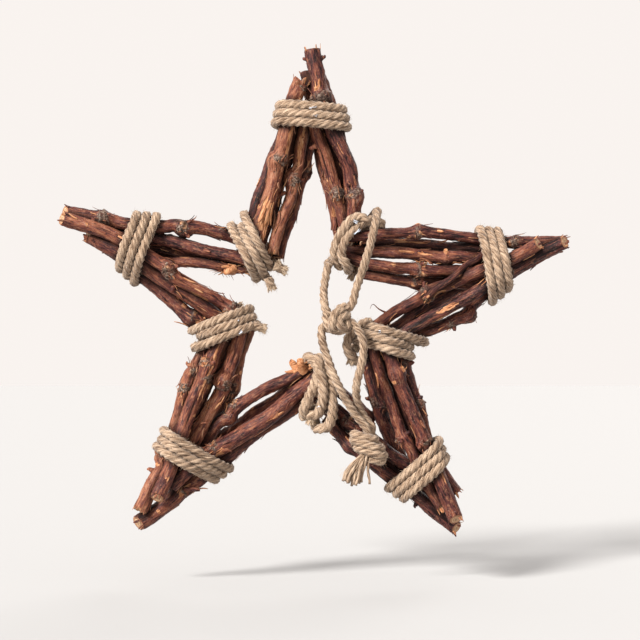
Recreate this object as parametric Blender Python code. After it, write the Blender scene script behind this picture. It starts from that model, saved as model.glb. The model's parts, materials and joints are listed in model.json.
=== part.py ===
"""Twig star: five points of vine canes, lashed with jute rope, with the cord that it hangs by.

Units are metres. The star stands in the XZ plane, +Z is up and its front faces -Y. The origin is the nail
that holds it: in the crotch of the top point, under that point's binding, where the nail leaves the wall. The
wall is the plane y = 0, and the star's back touches it.
"""

import math
from dataclasses import dataclass

import bmesh
import bpy
import numpy as np

# Driving dimensions of the star, in metres.
POINT_BINDING_REACH = 0.190  # star centre to the middle of a point's binding
CORNER_BINDING_REACH = 0.079  # star centre to the middle of an inner corner's binding
CANE_DIAMETER = 0.0112  # the usual cane
LANE = 0.010  # from one place for a cane to the next, across a leg and in depth
ROPE_DIAMETER = 0.008  # jute rope of the bindings and of the hanging cord
CLEARANCE = 0.0005  # gap between neighbouring pieces
JOIN_GAP = 0.001  # gap where one length of the cord carries on from another
NAIL_DROP = 0.047  # from the middle of the top binding down to the nail
NAIL_ASIDE = 0.002  # the nail lies this much to the right of the point's middle, where the two legs part
KNUCKLE_LENGTH = 0.022  # length of the swelling at a cane's node
KNUCKLE_SWELL = 1.28  # diameter at a node, as a share of the cane's
KNUCKLE_KINK = 0.16  # sideways step at a node, in lanes
WANDER = 0.10  # how far a cane strays from a smooth line, in lanes
TAPER = 0.12  # share of its thickness that a cane loses from its point end to its corner end
END_KNOT_LENGTH = 0.033
END_KNOT_WIDTH = 0.036
TASSEL_LENGTH = 0.023  # frayed ends that hang out of the end knot
TASSEL_WIDTH = 0.024

MM = 0.001
CANE_SIDES_RESOLUTION = 1  # six sides
ROPE_SIDES_RESOLUTION = 1
CORD_SIDES_RESOLUTION = 2  # eight sides
TURN_STEPS = 11  # straight pieces in one turn of a binding
EVEN_STATIONS = 7  # evenly spaced control points along a cane
SHORT_END = 0.010  # an end that reaches less than this past a binding keeps its place at the binding
KNUCKLE_END = 0.02  # share of a cane's length at each end that has no knuckle
KNUCKLE_CLEAR = 1.1  # half knuckles from one within which a cane has no evenly spaced control point
WANDER_WAVES = ((2.4, 1.9, 0.0), (2.1, 0.7, 1.0))  # across, in depth: radians a point, a cane, to start
TUBE_TURN = 0.7  # radians that the flat sides of each cane are turned from those of the one before
SPHERE_STEP = 0.0025  # spacing of the spheres that stand for a cane when the rope is wound round it
CORD_STEP = 0.013  # spacing of the points along the free cord


@dataclass(frozen=True)
class Seat:
    """Where a binding sits: how the hand-made star strays from a regular one, and how the rope is wound."""

    name: str
    turn: float  # degrees clockwise from its regular place
    stray: float  # metres further out than the driving reach
    tilt: float  # degrees that the winding is turned anticlockwise, seen from the front
    winds: float  # number of turns
    pitch: float = 1.06  # step from turn to turn, in rope diameters
    bow: float = 0.0  # metres that the front of each turn is pushed along the axis
    lean: float = 0.0  # metres that the inner side of each turn lies along the axis
    aside: float = 0.0  # metres that the whole winding lies along its axis from the seat's middle
    start: float = 60.0  # degrees round from the outer side to where the rope starts, by way of the back


@dataclass(frozen=True)
class Cane:
    """One cane: its thickness in cane diameters, its places in lanes, and its overhangs in millimetres."""

    thick: float
    over: tuple  # past the point's binding and past the corner's; a negative one stops short of it
    across: tuple  # at the point end, point binding, middle, corner binding, corner end; + is to the outline
    depth: tuple  # at the point, the middle and the corner; + is to the back
    knuckles: tuple = ()  # shares of the length, from the point end
    loose: bool = False  # one at the back, which gives way sideways where the others press on it


POINT_SEATS = (
    Seat("top", 1.5, 0.005, -4.7, 3.1),
    Seat("right", 3.0, 0.003, -8.0, 3.1),
    Seat("foot_right", 1.5, 0.004, 6.0, 3.1),
    Seat("foot_left", 2.5, -0.005, 5.0, 3.1),
    Seat("left", 2.5, -0.006, -2.3, 3.1, pitch=1.15),
)
CORNER_SEATS = (
    Seat("upper_left", -6.0, -0.004, -12.0, 3.33, start=70.0),
    Seat("upper_right", 0.0, -0.003, -7.5, 2.2, bow=-0.020, lean=0.013, aside=-0.002),
    Seat("right", 2.5, 0.003, 7.5, 3.33, start=70.0),
    Seat("bottom", -7.0, 0.002, -3.0, 1.72, bow=-0.019, aside=0.006, start=95.0),
    Seat("left", 7.0, -0.001, 13.0, 3.33, aside=0.004, start=70.0),
)

# Each leg: its name, the point and the corner that it joins, and its canes.
LEGS = (
    ("top_left", 0, 0, (
        Cane(1.20, (27, 2), (2.4, 2.25, 1.3, 0.5, 0.2), (-0.6, -0.8, -1.3), (0.46,)),
        Cane(1.10, (-3, -4), (2.2, 2.05, 2.1, 1.4, 1.3), (0.6, 0.2, -0.4), (0.30,)),
        Cane(1.00, (20, -8), (1.0, 0.65, -0.7, -1.2, -1.3), (-0.6, -0.8, -1.3), (0.52,)),
        Cane(1.05, (0, -6), (-0.2, -0.2, -1.25, -1.9, -2.0), (0.5, 0.2, -0.4), (0.38,)),
        Cane(0.85, (-4, -8), (1.0, 1.0, 0.45, 0.1, 0.1), (1.5, 1.1, 0.5), (), loose=True),
    )),
    ("top_right", 0, 1, (
        Cane(1.05, (45, -12), (0.7, 0.1, 0.05, -0.2, -0.3), (-0.6, -0.1, 0.5), (0.74,)),
        Cane(1.25, (64, -22), (1.7, 1.45, 1.85, 0.1, 0.0), (-0.6, -0.1, 0.5), (0.27, 0.84)),
        Cane(1.00, (54, -10), (1.7, 2.0, 1.7, 0.0, 0.0), (0.5, 0.9, 1.4), (0.72,)),
        Cane(0.75, (-2, -4), (-0.4, -0.45, -0.6, -1.0, -1.1), (0.5, 0.9, 1.4), ()),
        Cane(0.85, (-4, -6), (0.9, 0.9, 0.95, 0.5, 0.5), (1.5, 1.4, 1.6), (), loose=True),
    )),
    ("right_upper", 1, 1, (
        Cane(0.90, (69, 5), (2.6, 2.0, 2.45, 1.2, 0.8), (0.3, -0.2, -0.6), (0.23, 0.69)),
        Cane(1.05, (16, 12), (0.2, 0.25, 0.05, -0.1, -0.3), (-0.5, -0.9, -1.5), (0.38,)),
        Cane(0.95, (0, 12), (-1.2, -1.2, -1.5, -0.9, -0.7), (0.5, -0.7, -1.5), (0.48,)),
        Cane(0.90, (0, -8), (1.3, 1.3, 1.15, 0.95, 0.9), (0.7, 0.4, -0.5), ()),
        Cane(1.00, (-4, -8), (-1.6, -1.6, -2.65, -2.0, -1.8), (0.5, 0.2, -0.5), (0.55,)),
    )),
    ("right_lower", 1, 2, (
        Cane(1.00, (44, 6), (1.0, 0.4, -1.35, -1.7, -1.75), (-0.6, -0.2, 0.5), (0.64,)),
        Cane(1.05, (67, 5), (2.35, 1.5, 1.0, 0.2, 0.1), (-0.6, -0.1, 0.5), (0.30,)),
        Cane(1.00, (60, -14), (2.5, 1.8, 2.45, 0.2, 0.1), (0.5, 0.8, 1.4), (0.62,)),
        Cane(0.55, (0, -58), (-1.4, -1.4, -1.2, -1.1, -1.1), (-0.9, -0.9, -0.9), ()),
        Cane(0.95, (-4, 0), (0.95, 0.95, -0.15, 0.05, 0.1), (0.6, 0.9, 1.5), (), loose=True),
    )),
    ("foot_right_outer", 2, 2, (
        Cane(1.20, (-8, 4), (-1.2, -1.2, -2.1, -2.1, -2.0), (0.5, 0.1, -0.4), (0.50,)),
        Cane(0.95, (40, 6), (1.4, 0.4, -0.95, -1.35, -1.4), (-0.6, -0.8, -1.4), (0.42,)),
        Cane(1.15, (53, 4), (2.5, 1.7, 0.75, -0.1, -0.35), (-0.6, -0.8, -1.4), (0.42, 0.80)),
        Cane(1.05, (30, -6), (3.2, 2.0, 1.6, 0.8, 0.7), (0.5, 0.1, -0.4), (0.60,)),
        Cane(0.80, (-4, -6), (0.6, 0.6, -0.2, -0.6, -0.6), (1.2, 0.9, 0.6), (), loose=True),
    )),
    ("foot_right_inner", 2, 3, (
        Cane(1.05, (65, -22), (2.0, 2.0, 2.1, 1.2, 1.0), (-0.3, 0.1, 0.5), (0.78,)),
        Cane(1.05, (39, -4), (1.9, 1.3, 1.15, 0.6, 0.6), (0.5, 0.8, 1.5), ()),
        Cane(1.10, (10, -4), (-0.1, 0.05, 0.4, 0.2, 0.05), (0.2, 0.0, 0.5), (0.72,)),
        Cane(0.95, (-67, 7), (-1.2, -1.2, -1.3, -1.5, -1.55), (0.1, 0.1, 0.6), ()),
    )),
    ("foot_left_inner", 3, 3, (
        Cane(0.95, (4, 5), (-0.4, -0.55, -2.5, -2.6, -2.5), (-0.6, -0.8, -1.4), (0.36,)),
        Cane(1.25, (32, 8), (1.4, 0.7, 0.15, -1.3, -1.7), (-0.6, -0.8, -1.5), (0.22,)),
        Cane(0.95, (-4, 0), (0.2, 0.1, -0.85, -2.0, -2.1), (0.5, 0.3, -0.4), ()),
        Cane(1.20, (79, -2), (3.5, 2.1, 0.7, -0.2, -0.3), (0.5, 0.1, -0.4), (0.24,)),
    )),
    ("foot_left_outer", 3, 4, (
        Cane(1.15, (65, -4), (3.5, 2.4, 2.6, 0.9, 0.7), (-0.4, -0.5, -0.7), (0.29, 0.76)),
        Cane(1.15, (47, 2), (2.05, 1.7, 1.4, 0.5, 0.4), (-0.6, -0.9, -1.4), (0.76,)),
        Cane(1.20, (8, 2), (0.9, 0.8, -0.7, -1.1, -1.1), (-0.6, -0.8, -1.4), (0.62,)),
        Cane(1.05, (-4, 2), (-0.7, -0.7, -1.6, -1.7, -1.6), (0.5, 0.1, -0.4), (0.55,)),
        Cane(0.90, (-6, -4), (1.4, 1.4, 0.35, -0.2, -0.2), (0.6, 0.4, 0.0), (), loose=True),
    )),
    ("left_lower", 4, 4, (
        Cane(1.20, (45, 0), (2.0, 1.15, 0.4, 0.25, 0.2), (-0.6, -0.1, 0.5), ()),
        Cane(1.00, (74, 2), (2.3, -0.1, -0.5, -1.7, -2.0), (-0.6, -0.4, 0.4), (0.56, 0.93)),
        Cane(1.10, (24, -6), (1.8, 1.6, 1.9, 1.4, 1.3), (-0.4, 0.2, 0.7), (0.78,)),
        Cane(0.95, (-4, 2), (1.2, 1.2, 0.45, -0.6, -0.7), (0.6, 0.8, 1.4), ()),
    )),
    ("left_upper", 4, 0, (
        Cane(1.05, (73, 0), (3.0, 2.2, 2.4, 1.1, 0.9), (-0.5, -0.1, 0.5), (0.20, 0.62)),
        Cane(1.00, (43, 3), (1.35, 1.15, 0.4, -0.8, -1.0), (-0.6, -0.1, 0.5), ()),
        Cane(0.95, (10, 2), (0.6, 0.35, -0.45, -1.2, -1.3), (0.5, 0.8, 1.5), ()),
        Cane(0.80, (0, -10), (-1.05, -1.05, -1.1, -1.5, -1.5), (0.5, 0.7, 1.2), ()),
    )),
)

# The hanging cord's two strands, in millimetres from the star's centre: across, depth and up. Each starts at
# an end of the half turn behind the hung corner. They are tied in a half knot on the way to the end knot.
LEFT_STRAND = (
    (16, -18, 25), (16, -29, 9), (20.8, -31, -4), (30, -31, -8), (38, -33, -11), (44, -36, -10),
    (51, -38, -20), (55, -39, -33), (51.7, -39, -55), (47.5, -36, -73), (49, -28, -89), (56, -20, -104),
)
RIGHT_STRAND = (
    (65, -38, 82), (60.6, -40, 64), (54, -38, 42), (47, -34, 22), (40.7, -33, 3), (32, -38, 6),
    (29.2, -42, -6), (29, -37, -17), (22, -28, -18), (14.5, -28, -12), (13, -32, -22),
    (17, -37, -39), (25, -40, -61), (34, -38, -80), (46, -31, -100),
)
END_KNOT_AT = (60, -133)  # middle of the end knot, across and up
TASSEL_LEAN = (-12, 0)  # where the frayed ends lead, from straight under the knot
HUNG_CORNER = "upper_right"  # the inner corner that the cord is tied behind
LEFT_ENTRY, RIGHT_ENTRY = (0.5, 1.0), (-0.8, -1.0)  # where the strands meet the knot, in rope spacings
BACK_TURN = Seat("back", 0.0, 0.002, -7.0, 0.56, pitch=0.0, aside=-0.0085, start=-10.0)


@dataclass
class Line:
    """A round thing as a line of points with a radius at each."""

    name: str
    points: np.ndarray
    radii: np.ndarray
    loose: bool = False

    def spheres(self):
        """Closely spaced points on the line, each with the radius there."""
        points, radii = [], []
        for a, b, ra, rb in zip(self.points, self.points[1:], self.radii, self.radii[1:]):
            count = max(2, int(np.linalg.norm(b - a) / SPHERE_STEP))
            t = np.arange(count)[:, None] / count
            points.append(a + t * (b - a))
            radii.append((ra + t * (rb - ra))[:, 0])
        points.append(self.points[-1:])
        radii.append(self.radii[-1:])
        return np.vstack(points), np.concatenate(radii)


def spheres_of(lines):
    """The spheres of several lines as one cloud."""
    clouds = [line.spheres() for line in lines]
    return np.vstack([points for points, _ in clouds]), np.concatenate([radii for _, radii in clouds])


def seat_place(seat, reach, degrees):
    """The middle of a binding, as (x, z) from the star's centre, and the way outwards there."""
    angle = math.radians(degrees + seat.turn)
    out = np.array([math.sin(angle), math.cos(angle)])
    return out * (reach + seat.stray), out


def point_place(number):
    """The middle of a point's binding and the way outwards."""
    return seat_place(POINT_SEATS[number], POINT_BINDING_REACH, 72.0 * number)


def corner_place(number):
    """The middle of a corner's binding and the way outwards."""
    return seat_place(CORNER_SEATS[number], CORNER_BINDING_REACH, 72.0 * number - 36.0)


def flat(vector):
    """An (x, z) pair as a point in space at mid-depth."""
    return np.array([vector[0], 0.0, vector[1]])


def smooth_through(at, values, where):
    """A smooth curve through values given at rising places: cubic pieces with averaged slopes."""
    at, values = np.asarray(at, float), np.asarray(values, float)
    slope = np.gradient(values, at)
    piece = np.clip(np.searchsorted(at, where, side="right") - 1, 0, len(at) - 2)
    width = at[piece + 1] - at[piece]
    t = np.clip((where - at[piece]) / width, 0.0, 1.0)
    return (
        (2 * t**3 - 3 * t**2 + 1) * values[piece]
        + (t**3 - 2 * t**2 + t) * width * slope[piece]
        + (3 * t**2 - 2 * t**3) * values[piece + 1]
        + (t**3 - t**2) * width * slope[piece + 1]
    )


def control_shares(cane, length):
    """Even shares of a cane's length, with three close ones at each knuckle."""
    half = 0.5 * KNUCKLE_LENGTH / length
    near = [k + step * half for k in cane.knuckles for step in (-1, 0, 1)]
    near = [share for share in near if KNUCKLE_END < share < 1.0 - KNUCKLE_END]
    even = [
        share
        for share in np.linspace(0.0, 1.0, EVEN_STATIONS)
        if share in (0.0, 1.0) or all(abs(share - k) > KNUCKLE_CLEAR * half for k in near)
    ]
    return np.array(sorted(even + near))


def lay_cane(name, cane, start, end, outline_side, number):
    """A cane's line where the maker put it, between a point's binding and a corner's."""
    length = np.linalg.norm(end - start)
    along = (end - start) / length
    first, last = -cane.over[0] * MM, length + cane.over[1] * MM
    stations = [first, 0.0, length / 2, length, last]
    across = list(cane.across)
    if last <= length + SHORT_END:
        stations, across = stations[:4], across[:4]
    if first >= -SHORT_END:
        stations, across = stations[1:], across[1:]
    shares = control_shares(cane, last - first)
    where = first + shares * (last - first)
    sideways = smooth_through(stations, across, where)
    depth = smooth_through([0.0, length / 2, length], cane.depth, np.clip(where, 0.0, length))
    steps = np.arange(len(where))
    waves = [WANDER * np.sin(a * steps + b * number + c) for a, b, c in WANDER_WAVES]
    sideways += waves[0]
    depth += waves[1]
    swell = np.ones(len(where))
    for turn, knuckle in enumerate(cane.knuckles):
        here = np.isclose(shares, knuckle)
        swell[here] = KNUCKLE_SWELL
        sideways[here] += KNUCKLE_KINK * (-1) ** (turn + number)
    taper = 1.0 + TAPER * (0.5 - shares)
    points = flat(start) + np.outer(where, flat(along)) + np.outer(sideways * LANE, flat(outline_side))
    points[:, 1] = depth * LANE
    return Line(name, points, 0.5 * CANE_DIAMETER * cane.thick * taper * swell, cane.loose)


def lay_out_canes():
    """Every leg's canes, before they are pressed apart: a list of (point, corner, line)."""
    laid = []
    for leg_name, point, corner, canes in LEGS:
        start, axis = point_place(point)
        end, _ = corner_place(corner)
        along = end - start
        outline_side = np.array([-along[1], along[0]]) / np.linalg.norm(along)
        if axis[0] * along[1] > axis[1] * along[0]:
            outline_side = -outline_side
        for number, cane in enumerate(canes):
            name = f"cane_{leg_name}_{number + 1}"
            laid.append((point, corner, lay_cane(name, cane, start, end, outline_side, number)))
    return laid


def nearest_on_segments(p0, p1, q0, q1):
    """Shares along two sets of segments where each pair comes nearest."""
    d1, d2, r = p1 - p0, q1 - q0, p0 - q0
    a, e = (d1 * d1).sum(1), (d2 * d2).sum(1)
    b, c, f = (d1 * d2).sum(1), (d1 * r).sum(1), (d2 * r).sum(1)
    denominator = a * e - b * b
    s = np.where(denominator > 1e-14, (b * f - c * e) / np.maximum(denominator, 1e-14), 0.5)
    s = np.clip(s, 0.0, 1.0)
    t = np.clip((b * s + f) / e, 0.0, 1.0)
    s = np.clip((b * t - c) / a, 0.0, 1.0)
    return s, t


class Bundle:
    """Lines settled together so that none cuts into another. Those after the first few are held still."""

    ROUNDS = 900
    SETTLING = 600  # rounds with the lines' stiffness on; the rest only clear what still touches
    STIFFNESS = 0.35
    SIDEWAYS = 0.15  # how readily a pushed line moves in the star's plane, against in depth
    RETURN = 0.10  # share of its shift in the star's plane that a line loses each round
    LOOSE_RETURN = 0.01
    TIGHTEN = 0.00006  # metres that each cane is drawn to mid-depth each round, as the rope does
    NEARBY = 3.5 * CANE_DIAMETER  # lines further apart than this at first never come to touch
    SAME_DEPTH = 1e-5  # metres; lines that cross at one depth are parted by the next value
    PARTING = 1e-4
    LEAST_LINE_UP = 0.3  # so that a push across the way out of an overlap stays a short one
    LONGEST_PUSH = 0.002  # metres in one round
    PAST_TOUCHING = 2e-6  # metres that each push goes past the clearance

    def __init__(self, lines, held=()):
        self.lines = lines
        everything = [*lines, *held]
        counts = [len(line.points) for line in everything]
        self.starts = np.concatenate([[0], np.cumsum(counts)])
        self.points = np.vstack([line.points for line in everything])
        self.radii = np.concatenate([line.radii for line in everything])
        self.owner = np.repeat(np.arange(len(everything)), counts)
        self.free = self.owner < len(lines)
        self.loose = np.repeat([line.loose for line in everything], counts)
        joined = np.flatnonzero(self.owner[:-1] == self.owner[1:])
        self.first, self.second = self.near_pairs(joined)

    def near_pairs(self, joined):
        """Pairs of straight pieces of different lines that come near each other in the star's plane."""
        middle = 0.5 * (self.points[joined] + self.points[joined + 1])[:, [0, 2]]
        half = 0.5 * np.linalg.norm(self.points[joined + 1] - self.points[joined], axis=1)
        apart = np.linalg.norm(middle[:, None] - middle[None], axis=2)
        reach = half[:, None] + half[None] + self.NEARBY
        free, owner = self.free[joined], self.owner[joined]
        close = np.triu(apart < reach, 1) & (owner[:, None] != owner[None]) & (free[:, None] | free[None])
        first, second = np.nonzero(close)
        return joined[first], joined[second]

    def overlaps(self):
        """For each near pair: where it is nearest, the way from one to the other, and how far it cuts in."""
        i, j, points = self.first, self.second, self.points
        s, t = nearest_on_segments(points[i], points[i + 1], points[j], points[j + 1])
        apart = points[i] + s[:, None] * (points[i + 1] - points[i])
        apart -= points[j] + t[:, None] * (points[j + 1] - points[j])
        distance = np.linalg.norm(apart, axis=1)
        reach = self.radii[i] * (1 - s) + self.radii[i + 1] * s
        reach = reach + self.radii[j] * (1 - t) + self.radii[j + 1] * t + CLEARANCE
        return s, t, apart, distance, reach - distance

    def settle(self, tighten=0.0):
        """Push touching lines apart, mostly in depth, while each keeps its own shape."""
        rest = self.points.copy()
        for number in range(self.ROUNDS):
            s, t, apart, distance, cut = self.overlaps()
            hit = cut > 0.0
            if number > self.SETTLING and not hit.any():
                break
            either = self.loose[self.first[hit]] | self.loose[self.second[hit]]
            way = apart[hit].copy()
            way[:, [0, 2]] *= np.where(either, 1.0, self.SIDEWAYS)[:, None]
            way[:, 1] += np.where(np.abs(way[:, 1]) < self.SAME_DEPTH, self.PARTING, 0.0)
            way /= np.maximum(np.linalg.norm(way, axis=1, keepdims=True), 1e-9)
            lined_up = (way * apart[hit]).sum(1) / np.maximum(distance[hit], 1e-9)
            needed = cut[hit] / np.maximum(lined_up, self.LEAST_LINE_UP)
            push = way * (0.5 * np.minimum(needed, self.LONGEST_PUSH) + self.PAST_TOUCHING)[:, None]
            moved = np.zeros_like(self.points)
            weight = np.zeros(len(self.points))
            for ends, share, sign in ((self.first[hit], s[hit], 1.0), (self.second[hit], t[hit], -1.0)):
                for end, part in ((ends, 1.0 - share), (ends + 1, share)):
                    np.add.at(moved, end, sign * push * part[:, None])
                    np.add.at(weight, end, part)
            moved[:, [0, 2]] *= np.where(self.loose, 1.0, self.SIDEWAYS)[:, None]
            self.points += moved / np.maximum(weight, 1.0)[:, None] ** 0.5
            if number < self.SETTLING:
                self.points = rest + self.stiffened(self.points - rest)
                self.points[:, 1] -= tighten * np.sign(self.points[:, 1])
            self.points[~self.free] = rest[~self.free]
        for line, a, b in zip(self.lines, self.starts, self.starts[1:]):
            line.points = self.points[a:b]

    def stiffened(self, shift):
        """The lines' shifts, evened out along each and drawn back a little."""
        even = shift.copy()
        same = self.owner[:-2] == self.owner[2:]
        middle = np.flatnonzero(same) + 1
        even[middle] += self.STIFFNESS * (0.5 * (shift[middle - 1] + shift[middle + 1]) - shift[middle])
        even[:, [0, 2]] *= 1.0 - np.where(self.loose, self.LOOSE_RETURN, self.RETURN)[:, None]
        return even


class Winding:
    """A rope wound in turns round everything in its way, as a line of straight pieces."""

    ROUNDING = 200  # passes at most that raise the offsets
    SHORTEST_PIECE = 0.0002  # metres, near enough: no straight piece gets shorter

    def __init__(self, place, seat, at_point):
        self.middle, out = place
        tilt = math.radians(seat.tilt)
        turned = np.array([
            out[0] * math.cos(tilt) - out[1] * math.sin(tilt),
            out[0] * math.sin(tilt) + out[1] * math.cos(tilt),
        ])
        beside = np.array([turned[1], -turned[0]])
        self.axis, self.wide = (turned, beside) if at_point else (beside, turned)
        self.middle = self.middle + seat.aside * self.axis
        self.seat = seat

    def heading(self, degrees):
        """A direction in the plane of the turns: 0 is outwards or to the side, 90 is to the back."""
        angle = math.radians(degrees)
        return flat(self.wide) * math.cos(angle) + np.array([0.0, math.sin(angle), 0.0])

    def offset(self, cloud, degrees, low, high):
        """How far out a straight piece facing that way must lie to clear every sphere beside it."""
        centres, reaches = cloud
        beside = (centres - flat(self.middle)) @ flat(self.axis)
        beside = beside - np.clip(beside, low, high)
        near = np.abs(beside) < reaches
        outward = (centres[near] - flat(self.middle)) @ self.heading(degrees)
        return (outward + np.sqrt(reaches[near] ** 2 - beside[near] ** 2)).max(initial=0.0)

    def rounded(self, far, step):
        """Offsets raised where the next ones would otherwise fold the line back on itself."""
        far = np.array(far)
        for _ in range(self.ROUNDING):
            short = 2.0 * far[1:-1] * math.cos(step) - far[:-2] - far[2:]
            short = np.maximum(short + self.SHORTEST_PIECE, 0.0)
            if not short.any():
                break
            far[:-2] += 0.5 * short
            far[2:] += 0.5 * short
        return far

    def line(self, name, lines):
        """The rope's line round these other lines."""
        seat = self.seat
        centres, radii = spheres_of(lines)
        cloud = (centres, radii + 0.5 * ROPE_DIAMETER + CLEARANCE)
        step = 360.0 / TURN_STEPS
        count = int(round(seat.winds * TURN_STEPS)) + 2
        angles = seat.start + step * np.arange(count)
        shifts = seat.pitch * ROPE_DIAMETER * (np.arange(count) - 0.5 * (count - 1)) / TURN_STEPS
        shifts = shifts + seat.bow * np.maximum(-np.sin(np.radians(angles)), 0.0) ** 2
        shifts = shifts + seat.lean * np.maximum(-np.cos(np.radians(angles)), 0.0)
        between = 0.5 * (shifts[1:] + shifts[:-1])
        ends = np.concatenate([shifts[:1], between, shifts[-1:]])
        far = [
            self.offset(cloud, angle, min(ends[k : k + 2]), max(ends[k : k + 2]))
            for k, angle in enumerate(angles)
        ]
        turn = math.radians(step)
        far = self.rounded(far, turn)
        points = []
        for k in range(count - 1):
            ahead = (far[k + 1] - far[k] * math.cos(turn)) / math.sin(turn)
            corner = self.heading(angles[k]) * far[k] + self.heading(angles[k] + 90.0) * ahead
            points.append(flat(self.middle) + corner + flat(self.axis) * between[k])
        return Line(name, np.array(points), np.full(count - 1, 0.5 * ROPE_DIAMETER))


def strand_line(name, start, route, end):
    """A free strand from one place through its route to another, with evenly spaced points between."""
    through = np.vstack([start, np.array(route) * MM, end])
    at = np.concatenate([[0.0], np.cumsum(np.linalg.norm(np.diff(through, axis=0), axis=1))])
    where = [0.0]
    for a, b in zip(at, at[1:]):
        pieces = math.ceil((b - a) / CORD_STEP)
        where.extend(a + (b - a) * (k + 1) / pieces for k in range(pieces))
    points = np.stack([smooth_through(at, through[:, axis], np.array(where)) for axis in range(3)], axis=1)
    return Line(name, points, np.full(len(points), 0.5 * ROPE_DIAMETER))


def past(line, last):
    """The place a small gap beyond one end of a line."""
    near, far = (line.points[-2], line.points[-1]) if last else (line.points[1], line.points[0])
    return far + (far - near) / np.linalg.norm(far - near) * JOIN_GAP


def make_material(name, colour, roughness):
    """A plain Principled BSDF material."""
    material = bpy.data.materials.new(name)
    material.use_nodes = True
    shader = material.node_tree.nodes["Principled BSDF"]
    shader.inputs["Base Color"].default_value = (*colour, 1.0)
    shader.inputs["Roughness"].default_value = roughness
    shader.inputs["Metallic"].default_value = 0.0
    material.diffuse_color = (*colour, 1.0)
    return material


def add_tube(line, shift, resolution, material, collection, tilt=0.0):
    """A closed tube along a line: a curve object with one radius for each point."""
    curve = bpy.data.curves.new(line.name, "CURVE")
    curve.dimensions = "3D"
    curve.twist_mode = "MINIMUM"
    curve.bevel_depth = line.radii.max()
    curve.bevel_resolution = resolution
    curve.use_fill_caps = True
    spline = curve.splines.new("POLY")
    spline.points.add(len(line.points) - 1)
    for control, point, radius in zip(spline.points, line.points + shift, line.radii):
        control.co = (*point, 1.0)
        control.radius = radius / curve.bevel_depth
        control.tilt = tilt
    curve.materials.append(material)
    tube = bpy.data.objects.new(line.name, curve)
    collection.objects.link(tube)
    return tube


@dataclass(frozen=True)
class EndKnot:
    """The knot at the cord's end with its frayed ends, as one closed body of rings round an upright axis."""

    sides: int = 15
    knot_rings: int = 13
    tassel_rings: int = 5
    narrowing: float = 0.42  # share of its radius that the knot loses at its top and bottom
    groove: float = 0.16  # depth between two turns of rope, in rope diameters
    half_turns: int = 5  # of rope, from the knot's top to its middle
    yarns: int = 5  # lobes of the tassel
    neck: float = 0.34  # the tassel's radius where it leaves the knot, in tassel widths
    spread: tuple = (0.16, 0.02)  # added to that at its lower end, across and in depth
    lobe: tuple = (0.05, 0.12)  # height of the lobes at the neck, and what is added to it at the lower end
    gap: float = 0.08  # share of the tassel's length above its first ring
    uneven: float = 0.003  # metres by which the yarns' ends differ

    def rings(self):
        """The rings from the top down: radius across, radius in depth, lean and height."""
        angles = 2.0 * math.pi * np.arange(self.sides) / self.sides
        rings = []
        for share in np.linspace(-1.0, 1.0, self.knot_rings):
            body = 0.5 * END_KNOT_WIDTH * (1.0 - self.narrowing * abs(share) ** 3.0)
            coil = 0.5 + 0.5 * np.cos(self.half_turns * math.pi * share + angles)
            radius = body - self.groove * ROPE_DIAMETER * coil
            rings.append((radius, radius, np.zeros(2), np.full(self.sides, -0.5 * END_KNOT_LENGTH * share)))
        for share in np.linspace(0.0, 1.0, self.tassel_rings):
            lobes = 1.0 + (self.lobe[0] + self.lobe[1] * share) * np.cos(self.yarns * angles)
            wide, deep = (TASSEL_WIDTH * (self.neck + more * share) * lobes for more in self.spread)
            drop = TASSEL_LENGTH * (self.gap + (1.0 - self.gap) * share)
            drop = drop + self.uneven * share * np.cos(self.yarns * angles)
            rings.append((wide, deep, np.array(TASSEL_LEAN) * MM * share, -0.5 * END_KNOT_LENGTH - drop))
        return angles, rings

    def add(self, middle, material, collection):
        """Make the body with its middle there."""
        angles, rings = self.rings()
        mesh = bmesh.new()
        loops = []
        for wide, deep, lean, height in rings:
            x = middle[0] + lean[0] + wide * np.cos(angles)
            y = middle[1] + lean[1] + deep * np.sin(angles)
            loops.append([mesh.verts.new(place) for place in zip(x, y, middle[2] + height)])
        for upper, lower in zip(loops, loops[1:]):
            for k in range(len(upper)):
                mesh.faces.new((upper[k - 1], lower[k - 1], lower[k], upper[k]))
        mesh.faces.new(loops[0])
        mesh.faces.new(loops[-1])
        bmesh.ops.recalc_face_normals(mesh, faces=mesh.faces)
        bmesh.ops.triangulate(mesh, faces=mesh.faces)
        data = bpy.data.meshes.new("end_knot")
        mesh.to_mesh(data)
        mesh.free()
        data.materials.append(material)
        collection.objects.link(bpy.data.objects.new("end_knot", data))


def clear_scene():
    """Remove whatever the scene held."""
    for thing in list(bpy.data.objects):
        bpy.data.objects.remove(thing, do_unlink=True)


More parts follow.
